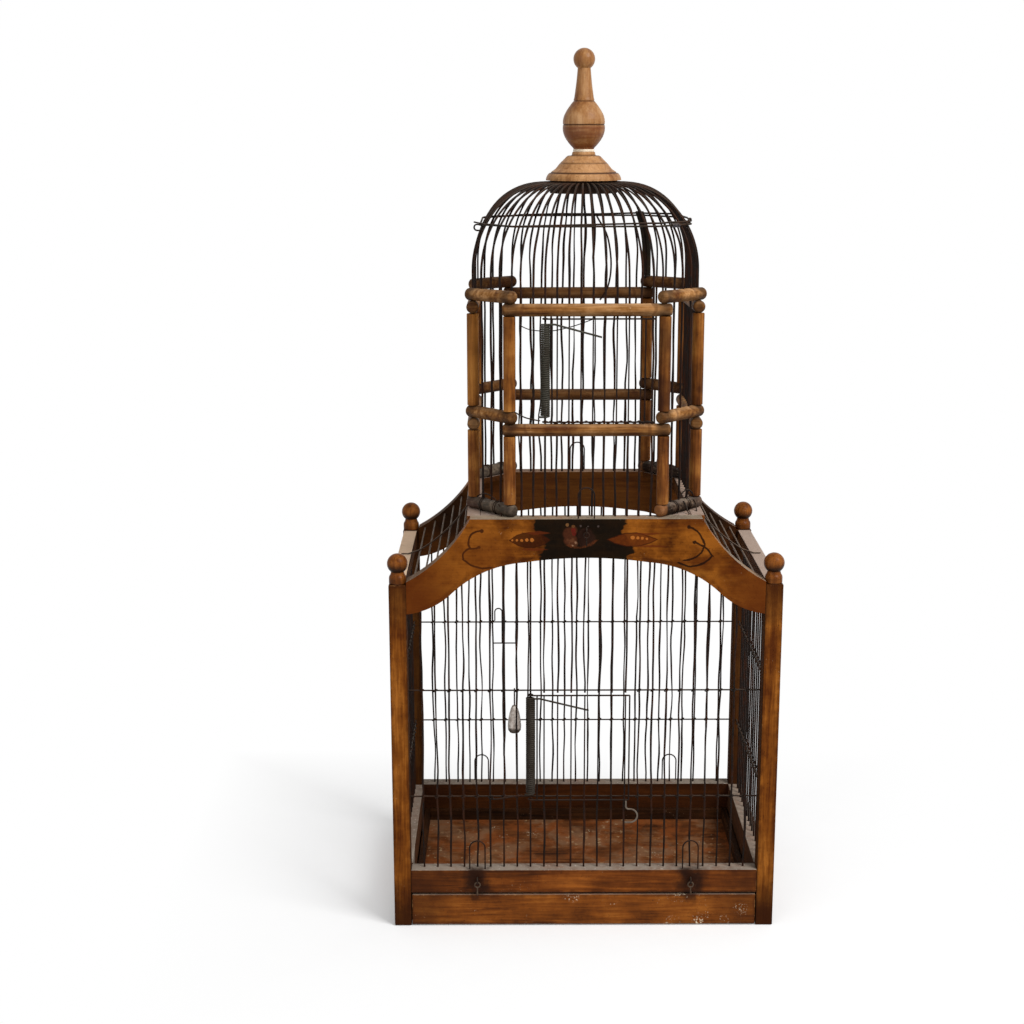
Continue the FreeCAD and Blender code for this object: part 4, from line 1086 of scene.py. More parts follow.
@dataclass(frozen=True)
class BentWire:
    """One length of wire bent by hand along a row of points."""

    name: str
    points: tuple[Place, ...]
    radius: float = 0.0007

    @staticmethod
    def twist(start: Place, end: Place, reach: float, turns: float, steps: int = 7) -> tuple[Place, ...]:
        """Points of a wire that winds round a straight line.

        Args:
            start: Start of the line.
            end: End of the line.
            reach: Distance of the wire from the line.
            turns: Number of turns.
            steps: Points in a turn.

        Returns:
            The points.
        """
        first, run = Vector(start), Vector(end) - Vector(start)
        across = run.cross(Vector((0.0, 0.0, 1.0))).normalized()
        rise = across.cross(run).normalized()
        count = round(turns * steps)
        points = []
        for number in range(count + 1):
            angle = 2 * math.pi * number / steps
            place = first + run * (number / count) + (across * math.cos(angle) + rise * math.sin(angle)) * reach
            points.append(tuple(place))
        return tuple(points)

    def build(self) -> bpy.types.Object:
        """Draw the wire as a path and give it its thickness.

        Returns:
            The wire.
        """
        Bench.clear()
        bpy.ops.curve.primitive_nurbs_path_add()
        wire = bpy.context.active_object
        wire.name = self.name
        path = wire.data.splines[0]
        path.points.add(len(self.points) - len(path.points))
        for point, place in zip(path.points, self.points):
            point.co = (*place, 1.0)
        path.order_u, path.use_endpoint_u, path.resolution_u = 3, True, 4
        wire.data.bevel_depth, wire.data.bevel_resolution, wire.data.use_fill_caps = self.radius, 1, True
        bpy.ops.object.convert(target="MESH")
        Bench.settle(bpy.context.active_object)
        return bpy.context.active_object

    def place(self, material: bpy.types.Material, body: str, slot: str) -> None:
        """Build the wire and give it its finish and body.

        Args:
            material: Its finish.
            body: Body that it moves with.
            slot: Material slot of the record.
        """
        Bench.dress(self.build(), material, body, slot)


@dataclass
class BentBars:
    """Upright bars of one wall, bent a little by hand between the places that hold them."""

    node: str
    way: Way
    cuts: tuple[float, ...]
    holds: tuple[float, ...]
    straight: tuple[float, ...] = ()
    bend: float = 0.0046
    spread: float = 6.0
    low: float = 0.060
    high: float = 9.0
    fuller: float = 0.0

    def build(self) -> bpy.types.Object:
        """Copy the straight bars, cut them into lengths and bend them.

        Returns:
            The bent bars.
        """
        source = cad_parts[self.node]
        bars = source.copy()
        bars.data = source.data.copy()
        bars.parent = None
        bars.matrix_world.identity()
        bars.name = f"{self.node}_bent"
        bpy.context.collection.objects.link(bars)
        Bench.hold(bars)
        if bars.data.has_custom_normals:
            bpy.ops.mesh.customdata_custom_splitnormals_clear()
        bpy.ops.object.mode_set(mode="EDIT")
        bpy.ops.mesh.select_all(action="SELECT")
        bpy.ops.mesh.remove_doubles(threshold=0.00002)
        for height in self.cuts:
            bpy.ops.mesh.select_all(action="SELECT")
            bpy.ops.mesh.bisect(plane_co=(0.0, 0.0, height), plane_no=(0.0, 0.0, 1.0))
        bpy.ops.object.mode_set(mode="OBJECT")
        self.loosen(bars)
        wide = [1.0, 1.0, 1.0]
        wide[self.way.value] = self.spread
        self.draw_out(bars, tuple(wide))
        texture = bpy.data.textures.new(f"{self.node}_bend", "CLOUDS")
        texture.noise_scale, texture.noise_depth = 0.075, 1
        push = bars.modifiers.new("bend", "DISPLACE")
        push.texture, push.texture_coords, push.direction = texture, "LOCAL", "XYZ"[self.way.value]
        push.strength, push.mid_level, push.vertex_group = self.bend * self.spread, 0.5, "loose"
        Bench.apply(bars)
        bpy.data.textures.remove(texture)
        wide[self.way.value] = 1.0 / self.spread
        self.draw_out(bars, tuple(wide))
        if self.fuller:
            grow = bars.modifiers.new("grow", "DISPLACE")
            grow.strength, grow.mid_level = self.fuller, 0.0
            Bench.apply(bars)
        bpy.ops.object.shade_smooth_by_angle(angle=math.radians(50))
        return bars

    def draw_out(self, bars: bpy.types.Object, share: Place) -> None:
        """Widen or narrow the wall about its middle, so that each bar bends its own way.

        Args:
            bars: The bars.
            share: Share along each axis.
        """
        Bench.edit(bars)
        bpy.ops.transform.resize(value=share, center_override=(0.0, 0.0, 0.0))
        bpy.ops.object.mode_set(mode="OBJECT")

    def loosen(self, bars: bpy.types.Object) -> None:
        """Mark how free each vertex is to bend.

        Args:
            bars: The bars.
        """
        axis = self.way.value
        tops: dict[int, float] = {}
        for vertex in bars.data.vertices:
            key = round(vertex.co[axis] / 0.004)
            tops[key] = max(tops.get(key, 0.0), vertex.co.z)
        group = bars.vertex_groups.new(name="loose")
        for vertex in bars.data.vertices:
            height = vertex.co.z
            top = min(max(tops.get(round(vertex.co[axis] / 0.004) + k, 0.0) for k in (-1, 0, 1)), self.high)
            free = min([1.0, (height - self.low) / 0.03, (top - 0.008 - height) / 0.03]
                       + [abs(height - hold) / 0.022 for hold in self.holds])
            if any(abs(vertex.co[axis] - still) < 0.003 for still in self.straight):
                free = 0.0
            group.add([vertex.index], max(0.0, free), "REPLACE")

    def place(self, material: bpy.types.Material) -> None:
        """Build the bars and let them stand for the straight ones.

        Args:
            material: Their finish.
        """
        bars = self.build()
        Bench.dress(bars, material, "cage", "bar_wire")
        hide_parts(self.node)


@dataclass
class WireWork:
    """Bars, cross wires, roof wires and the ties where wires cross."""

    front_y: float = 0.1125
    side_x: float = 0.181
    front_pitch: float = 0.346 / 26
    side_pitch: float = 0.208 / 16
    levels: tuple[float, float] = (0.1346, 0.2491)
    front_levels: tuple[float, float] = (0.1346, 0.2455)
    side_lift: float = 0.0022
    hinge_bar: int = 8
    brace: BentWire = BentWire("spring_brace", (
        (-0.0612, -0.1160, 0.1376), (-0.0655, -0.1156, 0.1370), (-0.0760, -0.1142, 0.1345), (-0.0870, -0.1142, 0.1326),
        (-0.0925, -0.1144, 0.1330), (-0.0952, -0.1150, 0.1350), (-0.0935, -0.1156, 0.1374), (-0.0905, -0.1152, 0.1362),
        (-0.0912, -0.1146, 0.1336)))

    def bar_x(self, number: int) -> float:
        """Place of one front bar."""
        return -0.173 + self.front_pitch * (number + 1)

    def bar_y(self, number: int) -> float:
        """Place of one side bar."""
        return -0.104 + self.side_pitch * (number + 1)

    def ties(self, material: bpy.types.Material) -> None:
        """Wrap a turn of thin wire round each crossing.

        Args:
            material: Finish of the ties.
        """
        Bench.clear()
        bpy.ops.mesh.primitive_torus_add(major_segments=10, minor_segments=4, major_radius=0.0021,
                                         minor_radius=0.0007, rotation=(0.0, 0.0, 0.0))
        ring = bpy.context.active_object
        Bench.edit(ring)
        bpy.ops.transform.resize(value=(0.92, 1.12, 1.0))
        bpy.ops.transform.rotate(value=math.radians(32), orient_axis="Y", center_override=(0.0, 0.0, 0.0))
        bpy.ops.object.mode_set(mode="OBJECT")
        places = []
        middle = self.front_y - 0.0009
        for level, front_level in zip(self.levels, self.front_levels):
            for number in range(25):
                turn = (0.0, 0.0, 0.4 * math.sin(number * 2.3 + level * 90))
                if not self.hinge_bar <= number <= self.hinge_bar + 7:
                    places.append(((self.bar_x(number), -middle, front_level), turn))
                places.append(((self.bar_x(number), middle, level), turn))
            for number in range(15):
                turn = (0.0, 0.0, math.pi / 2 + 0.4 * math.sin(number * 1.9 + level * 70))
                for side in (-1, 1):
                    places.append(((side * (self.side_x - 0.0009), self.bar_y(number), level + self.side_lift), turn))
        ties = Bench.copies(ring, places, "crossing_ties")
        bpy.ops.object.shade_smooth()
        Bench.dress(ties, material, "cage", "bar_wire")

    def dress(self) -> None:
        """Bend the bars, add the ties and finish the rest of the wire."""
        bar = OldWire("bar_wire", rusty=0.55).material()
        low_cuts = tuple(0.070 + 0.0115 * k for k in range(28))
        hinge = (self.bar_x(self.hinge_bar),)
        BentBars("front_bars", Way.ACROSS, low_cuts, self.front_levels, hinge).place(bar)
        BentBars("back_bars", Way.ACROSS, low_cuts, self.levels).place(bar)
        lifted = tuple(level + self.side_lift for level in self.levels)
        BentBars("left_bars", Way.DEEP, low_cuts, lifted, bend=0.003).place(bar)
        BentBars("right_bars", Way.DEEP, low_cuts, lifted, bend=0.003).place(bar)
        tower_cuts = tuple(0.436 + 0.0115 * k for k in range(18))
        pitch = 0.146 / 13
        upper_hinge = (-0.073 + pitch * 3,)
        tower = dict(low=0.432, high=0.735, fuller=0.00014)
        still, lower = (0.504, 0.516, 0.6176, 0.6296), (0.504, 0.516, 0.6128, 0.6248)
        between = (0.504, 0.516, 0.6152, 0.6272)
        BentBars("tower_front_bars", Way.ACROSS, tower_cuts, still, upper_hinge, bend=0.0040, **tower).place(bar)
        BentBars("tower_back_bars", Way.ACROSS, tower_cuts, lower, bend=0.0075, **tower).place(bar)
        BentBars("tower_side_bars", Way.DEEP, tower_cuts, between, bend=0.0050, **tower).place(bar)
        BentBars("tower_corner_bars", Way.ACROSS, tower_cuts, between, bend=0.0026, **tower).place(bar)
        self.ties(OldWire("tie_wire").material())
        self.brace.place(OldWire("brace_wire").material(), "cage", "bar_wire")
        finish_node("front_back_cross_wires", OldWire("cross_wire", dust=0.2, rusty=0.4).material())
        finish_node("side_cross_wires", OldWire("side_cross_wire", dust=0.2, rusty=0.4, seed=0.4).material())
        roof = OldWire("roof_wire", iron=tone(48, 38, 30), dust=0.5, dust_tone=tone(134, 116, 100), rusty=0.35)
        finish_node("roof_wires", roof.material())
        finish_node("roof_slope_wires", replace(roof, name="slope_wire", seed=0.7).material())
        finish_node("feeder_arches", OldWire("feeder_wire", rusty=0.7).material())


@dataclass
class Tower:
    """Turned rods and posts, dome and finial of the tower, with its loose wires, ledges and lashings."""

    corner: Spot = (0.073, 0.1085)
    flank: Spot = (0.108, 0.0705)
    rod_z: float = 0.426
    rod_radius: float = 0.006
    strays: tuple[BentWire, ...] = (
        BentWire("tower_slack_wire", (
            (-0.0634, -0.1070, 0.6034), (-0.0570, -0.1070, 0.5998), (-0.0489, -0.1070, 0.5981),
            (-0.0331, -0.1070, 0.5974),
            (-0.0163, -0.1070, 0.6012), (-0.0040, -0.1070, 0.6052), (0.0058, -0.1070, 0.6090)), 0.0005),
        BentWire("spring_stay", (
            (-0.0700, -0.1100, 0.5226), (-0.0650, -0.1101, 0.5196), (-0.0580, -0.1102, 0.5160),
            (-0.0515, -0.1103, 0.5146),
            (-0.0470, -0.1118, 0.5138), (-0.0440, -0.1124, 0.5136))),
        BentWire("hoop_tail", (
            (-0.0950, -0.0704, 0.6940), (-0.0975, -0.0690, 0.6948), (-0.1000, -0.0668, 0.6953),
            (-0.1030, -0.0640, 0.6958),
            (-0.1062, -0.0612, 0.6963)), 0.0008),
        BentWire("hoop_end_left", (
            (-0.0985, -0.0640, 0.6930), (-0.1020, -0.0600, 0.6940), (-0.1052, -0.0586, 0.6938),
            (-0.1066, -0.0582, 0.6912),
            (-0.1054, -0.0582, 0.6886), (-0.1024, -0.0586, 0.6880), (-0.0996, -0.0596, 0.6884)), 0.0008),
        BentWire("hoop_end_right", (
            (0.0950, -0.0704, 0.6944), (0.0962, -0.0680, 0.6976), (0.0984, -0.0650, 0.6998), (0.1000, -0.0632, 0.6984),
            (0.0988, -0.0640, 0.6960), (0.0962, -0.0668, 0.6948)), 0.0008),
        BentWire("foot_loop", (
            (-0.0850, -0.0958, 0.4312), (-0.0880, -0.0925, 0.4345), (-0.0930, -0.0872, 0.4368),
            (-0.0976, -0.0826, 0.4372),
            (-0.1020, -0.0780, 0.4352), (-0.1060, -0.0738, 0.4316)), 0.0006),
        BentWire("foot_prong_left", (
            (-0.0976, -0.0812, 0.4320), (-0.0982, -0.0806, 0.4372), (-0.0988, -0.0802, 0.4420),
            (-0.0986, -0.0802, 0.4470),
            (-0.0992, -0.0800, 0.4520)), 0.0005),
        BentWire("foot_leg_left", (
            (-0.0840, -0.1040, 0.4310), (-0.0818, -0.1058, 0.4290), (-0.0812, -0.1068, 0.4250),
            (-0.0814, -0.1076, 0.4215),
            (-0.0812, -0.1084, 0.4198)), 0.0006),
        BentWire("foot_loop_right", (
            (0.0900, -0.0906, 0.4314), (0.0925, -0.0890, 0.4372), (0.0975, -0.0866, 0.4412), (0.1010, -0.0830, 0.4404),
            (0.1048, -0.0790, 0.4366), (0.1072, -0.0752, 0.4310)), 0.0007),
        BentWire("foot_prong_right", (
            (0.0972, -0.0868, 0.4330), (0.0980, -0.0870, 0.4420), (0.0982, -0.0872, 0.4490), (0.0979, -0.0870, 0.4560),
            (0.0981, -0.0870, 0.4628)), 0.0005),
        BentWire("foot_leg_right", (
            (0.0950, -0.0915, 0.4310), (0.0972, -0.0932, 0.4280), (0.0984, -0.0950, 0.4240), (0.0990, -0.0980, 0.4215),
            (0.1000, -0.1010, 0.4200)), 0.0006),
        BentWire("foot_leg_flank", (
            (0.1060, -0.0800, 0.4300), (0.1080, -0.0815, 0.4270), (0.1086, -0.0830, 0.4235), (0.1083, -0.0855, 0.4210),
            (0.1084, -0.0885, 0.4204)), 0.0006),
        BentWire("dome_stray", (
            (0.0178, 0.0994, 0.6945), (0.0198, 0.0990, 0.6901), (0.0252, 0.0980, 0.6821), (0.0300, 0.0970, 0.6720),
            (0.0328, 0.0970, 0.6563), (0.0338, 0.0975, 0.6427), (0.0328, 0.0980, 0.6288), (0.0290, 0.0990, 0.6147),
            (0.0223, 0.1000, 0.6060)), 0.0010),
    )
    dome_profile: tuple[Spot, ...] = (
        (0.1262, 0.622), (0.1262, 0.640), (0.1262, 0.656), (0.1241, 0.670), (0.1196, 0.683), (0.1130, 0.695),
        (0.1020, 0.7085),
        (0.0900, 0.7175), (0.0760, 0.7244), (0.0600, 0.7291), (0.0460, 0.7306), (0.0270, 0.7306))
    corner_wire_radius: float = 0.00095
    hoop_z: float = 0.694
    hoop_tilt: float = 0.014
    hoop_lift: float = 0.0017
    hoop_wave: float = 0.0034
    ledge: Place = (0.031, 0.031, 0.006)
    ledge_middle: Place = (0.086, 0.0885, 0.4167)
    ledge_round: float = 0.0008
    lash_radius: float = 0.0004
    lash_pitch: float = 0.0024
    lash_turns: int = 2
    lash_shares: Spot = (0.26, 0.66)

    def corner_wires(self, material: bpy.types.Material) -> None:
        """Carry one wire from each corner of the top ring over the dome to the crown.

        Args:
            material: Finish of the wires.
        """
        path = tuple((reach, 0.0, height) for reach, height in self.dome_profile)
        wire = BentWire("corner_wire", path, self.corner_wire_radius).build()
        turns = []
        for x, y in (self.corner, self.flank):
            angle = math.atan2(y, x)
            turns += [angle, math.pi - angle, math.pi + angle, -angle]
        wires = Bench.copies(wire, [((0.0, 0.0, 0.0), (0.0, 0.0, turn)) for turn in turns], "dome_corner_wires")
        Bench.dress(wires, material, "cage", "dome_wire")

    def second_hoop(self, material: bpy.types.Material) -> None:
        """Lay a second, wavier turn of wire on the hoop, a little higher on the right.

        Args:
            material: Finish of the wire.
        """
        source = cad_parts["dome_hoop"]
        turn = source.copy()
        turn.data = source.data.copy()
        turn.parent, turn.name = None, "dome_hoop_second"
        bpy.context.collection.objects.link(turn)
        turn.rotation_mode = "XYZ"
        turn.location = (self.hoop_z * self.hoop_tilt, 0.0, self.hoop_lift)
        turn.rotation_euler = (0.0, -self.hoop_tilt, 0.0)
        Bench.hold(turn)
        if turn.data.has_custom_normals:
            bpy.ops.mesh.customdata_custom_splitnormals_clear()
        Bench.edit(turn)
        bpy.ops.mesh.remove_doubles(threshold=0.00002)
        bpy.ops.mesh.subdivide(number_cuts=2)
        Bench.clear()
        Bench.settle(turn)
        texture = bpy.data.textures.new("hoop_wave", "CLOUDS")
        texture.noise_scale, texture.noise_depth = 0.03, 1
        wave = turn.modifiers.new("wave", "DISPLACE")
        wave.texture, wave.texture_coords, wave.direction = texture, "LOCAL", "Z"
        wave.strength, wave.mid_level = self.hoop_wave, 0.5
        Bench.apply(turn)
        bpy.data.textures.remove(texture)
        Bench.dress(turn, material, "cage", "dome_wire")

    def ledges(self, material: bpy.types.Material) -> None:
        """Close the corners between sills and boards under the foot rods.

        Args:
            material: Finish of the ledges.
        """
        corners = ((-1, -1, "front_left"), (1, -1, "front_right"), (-1, 1, "back_left"), (1, 1, "back_right"))
        for side, depth, name in corners:
            Bench.clear()
            middle = (side * self.ledge_middle[0], depth * self.ledge_middle[1], self.ledge_middle[2])
            bpy.ops.mesh.primitive_cube_add(size=1.0, location=middle, scale=self.ledge)
            ledge = bpy.context.active_object
            ledge.name = f"tower_ledge_{name}"
            Bench.edit(ledge)
            bpy.ops.mesh.bisect(plane_co=middle, plane_no=(-side, -depth, 0.0), use_fill=True, clear_outer=True)
            Bench.clear()
            soften = ledge.modifiers.new("soften", "BEVEL")
            soften.width, soften.segments = self.ledge_round, 2
            Bench.apply(ledge)
            Bench.settle(ledge)
            bpy.ops.object.shade_smooth_by_angle(angle=math.radians(40))
            Bench.dress(ledge, material, "cage", "sill_wood")

    def lashing(self, material: bpy.types.Material) -> None:
        """Wind wire round the foot rods near their ends, with a loose end sticking out.

        Args:
            material: Finish of the wire.
        """
        Bench.clear()
        wire, pitch, turns = self.lash_radius, self.lash_pitch, self.lash_turns
        bpy.ops.mesh.primitive_circle_add(vertices=6, radius=wire, enter_editmode=True)
        bpy.ops.transform.rotate(value=math.pi / 2, orient_axis="Y", center_override=(0.0, 0.0, 0.0))
        bpy.ops.transform.translate(value=(0.0, -self.rod_radius - wire, 0.0))
        bpy.ops.object.mode_set(mode="OBJECT")
        wrap = bpy.context.active_object
        wind = wrap.modifiers.new("wind", "SCREW")
        wind.axis, wind.angle, wind.screw_offset = "Z", 2 * math.pi, pitch
        wind.iterations, wind.steps, wind.render_steps = turns, 16, 16
        Bench.apply(wrap)
        bpy.ops.object.mode_set(mode="EDIT")
        reach = self.rod_radius + wire
        top = pitch * turns - 0.001
        Bench.pick(wrap, lambda co: abs(co.x) < wire * 0.3 and co.z > top and abs(co.y + reach) < 0.001)
        for draw in ((0.003, 0.0002, 0.0012), (0.003, -0.0012, 0.0022), (0.0012, -0.0022, 0.0012)):
            bpy.ops.mesh.extrude_region_move(TRANSFORM_OT_translate={"value": draw})
        bpy.ops.mesh.select_all(action="SELECT")
        bpy.ops.mesh.fill_holes(sides=6)
        bpy.ops.mesh.normals_make_consistent(inside=False)
        bpy.ops.object.mode_set(mode="OBJECT")
        places = []
        for sx in (-1, 1):
            for sy in (-1, 1):
                start = Vector((sx * self.corner[0], sy * self.corner[1], self.rod_z))
                end = Vector((sx * self.flank[0], sy * self.flank[1], self.rod_z))
                turn = (end - start).to_track_quat("Z", "Y")
                for number, share in enumerate(self.lash_shares):
                    spin = Quaternion((0.0, 0.0, 1.0), 1.9 * number + sx + 2.0 * sy)
                    places.append((tuple(start.lerp(end, share)), tuple((turn @ spin).to_euler())))
        wraps = Bench.copies(wrap, places, "foot_lashings")
        bpy.ops.object.shade_smooth()
        Bench.dress(wraps, material, "cage", "dome_wire")

    def dress(self) -> None:
        """Finish the tower's nodes and add its loose wires, ledges and lashings."""
        rod = TurnedWood("rod_wood", dark=tone(76, 39, 12), body=tone(132, 88, 44), glow=tone(176, 130, 84),
                         way=Way.ACROSS, joints=0.8, dust=0.2, dust_tone=tone(176, 148, 118), contrast=1.4, chips=0.6,
                         underside_shade=0.6)
        finish_node("tower_mid_rods", rod.material())
        finish_node("tower_top_rods", replace(rod, name="top_rod_wood", seed=1.5).material())
        rusty = (StainAndPaintedLight((-0.1080, -0.0705, 0.4250), 0.030, tone(56, 27, 17), 0.9),
                 StainAndPaintedLight((-0.0700, -0.1120, 0.4250), 0.022, tone(46, 38, 33), 0.85),
                 StainAndPaintedLight((0.1140, -0.0640, 0.4250), 0.024, tone(98, 76, 64), 0.8))
        foot = replace(rod, name="foot_rod_wood", dark=tone(30, 21, 15), body=tone(76, 60, 48), glow=tone(122, 104, 86),
                       dust=0.45, dust_tone=tone(112, 102, 94), joints=0.1, bare=0.9, contrast=2.0, streaks=0.5,
                       stains_and_painted_light=rusty)
        finish_node("tower_foot_rods", foot.material())
        post = TurnedWood("tower_post_wood", dark=tone(58, 27, 7), body=tone(116, 68, 25), glow=tone(156, 104, 48),
                          seed=2.2, contrast=1.2)
        # Painted shade on the front right upper post and painted light on the front left flank post.
        post_shade_and_light = tuple(StainAndPaintedLight((0.073, -0.1085, z), 0.060, tone(52, 26, 12), 0.75) for z in (0.545, 0.59))
        post_shade_and_light += tuple(StainAndPaintedLight((-0.108, -0.0705, z), 0.060, tone(152, 100, 44), 0.45) for z in (0.545, 0.59))
        finish_node("tower_upper_posts", replace(post, stains_and_painted_light=post_shade_and_light).material())
        lower = replace(post, name="lower_post_wood", body=tone(108, 62, 25), seed=3.3)
        finish_node("tower_lower_posts", lower.material())
        finish_node("tower_corner_pins", OldWire("pin_wire").material())
        finish_node("dome_hoop", OldWire("hoop_wire", iron=tone(30, 25, 18), dust=0.25).material())
        stay = OldWire("stay_tin", iron=tone(36, 31, 22), rust=tone(60, 42, 22), rusty=0.6)
        finish_node("dome_stay", stay.material())
        # Painted shade: the crown block is coloured near black for the shade under the cap.
        crown = TurnedWood("crown_wood", dark=tone(20, 13, 9), body=tone(42, 27, 18), glow=tone(62, 42, 30), gloss=0.6)
        finish_node("crown_block", crown.material())
        spire = TurnedWood("spire_wood", dark=tone(106, 60, 22), body=tone(142, 97, 54), glow=tone(168, 127, 86),
                           rings=((0.7862, 0.8), (0.8084, 0.45)), streaks=0.3, chips=0.1, gloss=0.28, shine=0.2,
                           seed=4.1, deep=(0.7640, 0.7862))
        finish_node("spire_finial", spire.material())
        cap = replace(spire, name="cap_wood", body=tone(162, 117, 74), glow=tone(188, 142, 98), seed=5.6,
                      rings=((0.7404, 0.85), (0.7496, 0.45), (0.7571, 0.6)), dust=0.2,
                      dust_tone=tone(184, 140, 100), deep=None, shine=0.1)
        finish_node("finial_cap", cap.material())
        washer = TurnedWood("washer_wood", dark=tone(188, 166, 136), body=tone(226, 212, 190), glow=tone(238, 228, 210),
                            streaks=0.2, chips=0.0)
        finish_node("cap_washer", washer.material())
        lash = OldWire("lashing_wire", dust=0.2).material()
        self.lashing(lash)
        self.corner_wires(lash)
        self.second_hoop(OldWire("second_hoop_wire", iron=tone(26, 20, 14), dust=0.15).material())
        ledge = Varnish("ledge", way=Way.DEEP, inside=tone(24, 14, 8), dust=0.95, dust_tone=tone(152, 134, 122),
                        patchy=0.4, seed=14.0)
        self.ledges(ledge.material())
        for stray in self.strays:
            stray.place(lash, "cage", "dome_wire")
        wound = BentWire.twist((0.0796, -0.0874, 0.694), (0.0868, -0.0796, 0.694), 0.0017, 5)
        binding = BentWire("hoop_binding", wound, 0.0006)
        pale = OldWire("binding_wire", iron=tone(74, 72, 76), rust=tone(60, 52, 50), dust=0.4)
        binding.place(pale.material(), "cage", "dome_wire")


@dataclass
class Doors:
    """Two sprung wire doors."""

    springs: tuple[CoilSpring, ...] = (
        CoilSpring("lower_door_coil", "lower_door_spring", "lower_door", (-0.05323, -0.1125), 0.1385, 48,
                   (0.048, 0.0, -0.012)),
        CoilSpring("upper_door_coil", "upper_door_spring", "upper_door", (-0.03931, -0.1085), 0.517, 42,
                   (0.044, 0.0, -0.012)),
    )

    def dress(self) -> None:
        """Finish the grilles and wind the springs."""
        wire = OldWire("door_wire", rusty=0.35)
        finish_node("lower_door_grille", wire.material())
        finish_node("upper_door_grille", replace(wire, name="upper_door_wire", seed=0.9).material())
        pull = OldWire("pull_wire", iron=tone(104, 95, 85), rust=tone(66, 48, 35), dust=0.4, metal=0.2)
        finish_node("lower_door_pull", pull.material())
        steel = OldWire("spring_wire", iron=tone(50, 48, 40), rust=tone(36, 29, 19), rusty=0.7, metal=0.2,
                        shine=0.2)
        dull = replace(steel, name="dull_spring_wire", iron=tone(44, 38, 31), rust=tone(32, 24, 16))
        for spring, finish in zip(self.springs, (dull, steel)):
            spring.place(finish.material())
        low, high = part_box("upper_door_grille")
        y, z = low[1] + 0.0008, low[2] + 0.0008
        sill = BentWire.twist((low[0] + 0.006, y, z), (high[0] - 0.001, y, z), 0.0012, 12)
        BentWire("upper_door_binding", sill, 0.0006).place(wire.material(), "upper_door", "door_wire")


@dataclass
class Hangings:
    """Hooks, screw eyes, treat hook and clay drop."""

    hooks: tuple[str, ...] = ("front_left_hook", "front_right_hook", "front_board_hook", "back_left_hook",
                              "back_right_hook", "back_board_hook", "hook_eyes", "treat_hook")

    def dress(self) -> None:
        """Finish the hanging pieces."""
        iron = OldWire("hook_wire", iron=tone(26, 18, 13), rusty=0.5)
        worn = replace(iron, name="worn_hook_wire", iron=tone(74, 60, 48), rust=tone(58, 36, 22)).material()
        dark = iron.material()
        for node in self.hooks:
            finish_node(node, worn if node in ("front_left_hook", "front_right_hook") else dark)
        finish_node("pendant", GlazedDrop("pendant_glaze", shine=0.3).material())


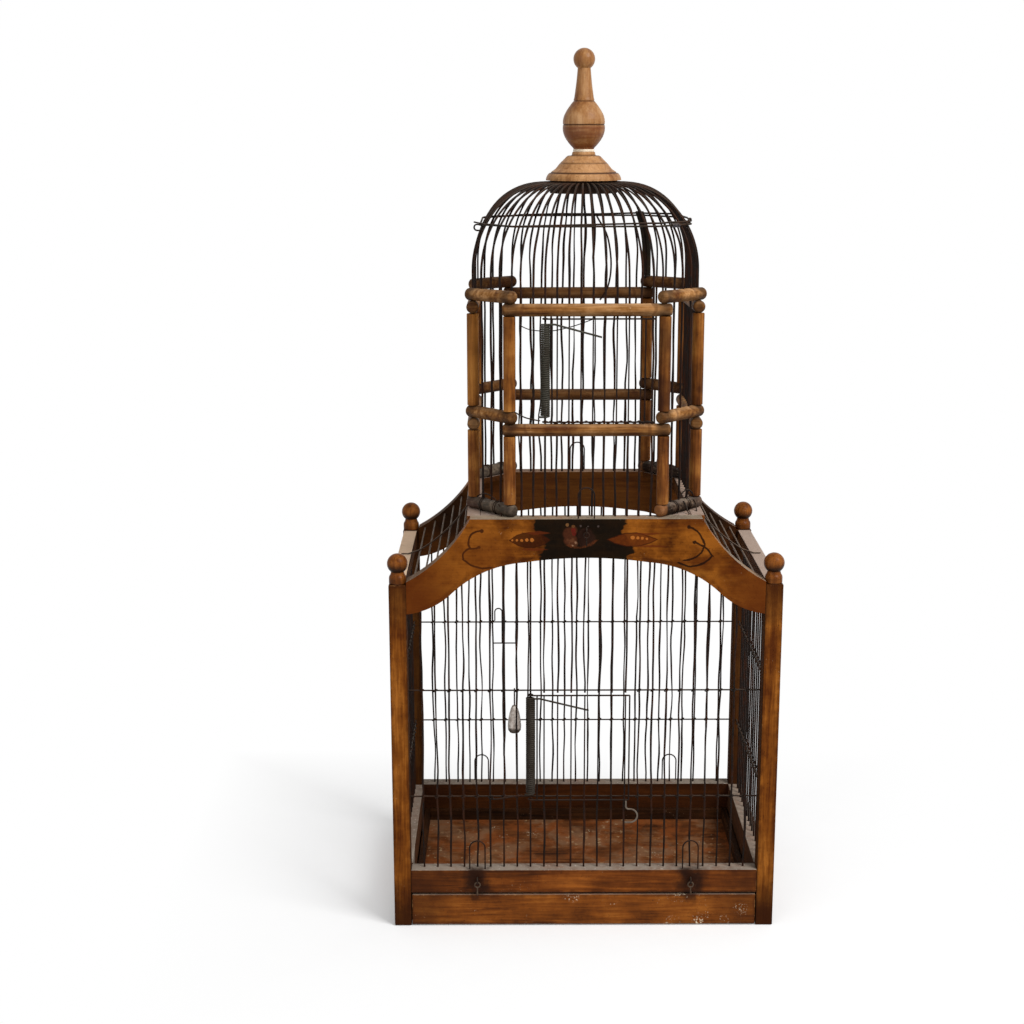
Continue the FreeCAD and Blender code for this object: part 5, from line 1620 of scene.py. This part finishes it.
@dataclass
class Studio:
    """Camera, floor, lamps and white surroundings."""

    eye: Place = (-0.06893, -1.68138, 0.78483)
    turn: Place = (77.0924, 0.1573, 0.0349)
    lens: float = 59.169
    fade: float = 0.25
    room: float = 0.38
    lamps: tuple[tuple[str, Place, Place, float, float], ...] = (
        ("key", (1.5, -1.35, 2.3), (0.0, 0.0, 0.3), 1.2, 74.0),
        ("fill", (-1.4, -2.0, 1.1), (0.0, 0.0, 0.4), 1.8, 16.0),
    )

    def camera(self) -> None:
        """Stand the camera where the photograph was taken from."""
        Bench.clear()
        bpy.ops.object.camera_add(location=self.eye, rotation=tuple(math.radians(angle) for angle in self.turn))
        camera = bpy.context.active_object
        camera.name = "camera"
        camera.data.lens, camera.data.sensor_width, camera.data.sensor_fit = self.lens, 36.0, "HORIZONTAL"
        bpy.context.scene.camera = camera

    def floor(self) -> None:
        """Lay a pale floor that fades to white and keeps the shadow."""
        Bench.clear()
        bpy.ops.mesh.primitive_plane_add(size=9.0, location=(0.0, 0.0, -0.0004))
        plane = bpy.context.active_object
        plane.name = "studio_floor"
        graph = Graph("studio_floor")
        path = graph.node("ShaderNodeLightPath", out="Is Camera Ray")
        seen = path.most(path.part("Is Glossy Ray")).most(path.part("Is Transmission Ray"))
        x, y, _ = graph.axes()
        off = (abs(x) - 0.19).most(abs(y) - 0.121).most(0.0)
        far = graph.scale(off, 0.0, self.fade) ** 0.48
        grain = graph.noise(graph.where(), 30.0, 3.0)
        cloth = graph.mix(grain, tone(240, 240, 240), tone(244, 244, 244))
        matt = graph.node("ShaderNodeBsdfDiffuse", {}, {"Color": cloth})
        white = graph.node("ShaderNodeEmission", {}, {"Color": (1.0, 1.0, 1.0, 1.0), "Strength": 1.0})
        lift = graph.node("ShaderNodeEmission", {}, {"Color": (0.09, 0.09, 0.09, 1.0), "Strength": 1.0})
        near = graph.node("ShaderNodeAddShader", {}, {0: matt, 1: lift})
        both = graph.node("ShaderNodeMixShader", {}, {0: seen * far, 1: near, 2: white})
        plain = graph.node("ShaderNodeMixShader", {}, {0: seen, 1: matt, 2: both})
        graph.node("ShaderNodeOutputMaterial", {}, {"Surface": plain})
        plane.data.materials.append(graph.material)

    def light(self) -> None:
        """Hang the lamps and set a soft white room."""
        for name, place, target, size, power in self.lamps:
            Bench.clear()
            aim = (Vector(target) - Vector(place)).to_track_quat("-Z", "Y").to_euler()
            bpy.ops.object.light_add(type="AREA", location=place, rotation=aim)
            lamp = bpy.context.active_object
            lamp.name = name
            lamp.data.size, lamp.data.energy = size, power
        world = bpy.data.worlds.new("white_room")
        bpy.context.scene.world = world
        world.use_nodes = True
        tree = world.node_tree
        tree.nodes.clear()
        path = tree.nodes.new("ShaderNodeLightPath")
        seen = path.outputs["Is Camera Ray"]
        for ray in ("Is Glossy Ray", "Is Transmission Ray"):
            either = tree.nodes.new("ShaderNodeMath")
            either.operation = "MAXIMUM"
            tree.links.new(seen, either.inputs[0])
            tree.links.new(path.outputs[ray], either.inputs[1])
            seen = either.outputs[0]
        shine = tree.nodes.new("ShaderNodeMapRange")
        tree.links.new(seen, shine.inputs[0])
        shine.inputs[3].default_value, shine.inputs[4].default_value = self.room, 1.0
        back = tree.nodes.new("ShaderNodeBackground")
        back.inputs["Color"].default_value = (1.0, 1.0, 1.0, 1.0)
        tree.links.new(shine.outputs[0], back.inputs["Strength"])
        out = tree.nodes.new("ShaderNodeOutputWorld")
        tree.links.new(back.outputs[0], out.inputs["Surface"])

    def set_up(self) -> None:
        """Set up the whole studio."""
        scene = bpy.context.scene
        scene.view_settings.view_transform = "Standard"
        self.camera()
        self.floor()
        self.light()


def main() -> None:
    """Build the studio and dress the cage, part by part."""
    logging.basicConfig(level=logging.INFO, format="%(name)s: %(message)s")
    Studio().set_up()
    timber = TimberFrame()
    timber.dress()
    Tray().dress(timber)
    WireWork().dress()
    Tower().dress()
    Doors().dress()
    Hangings().dress()


if __name__ == "__main__":
    main()
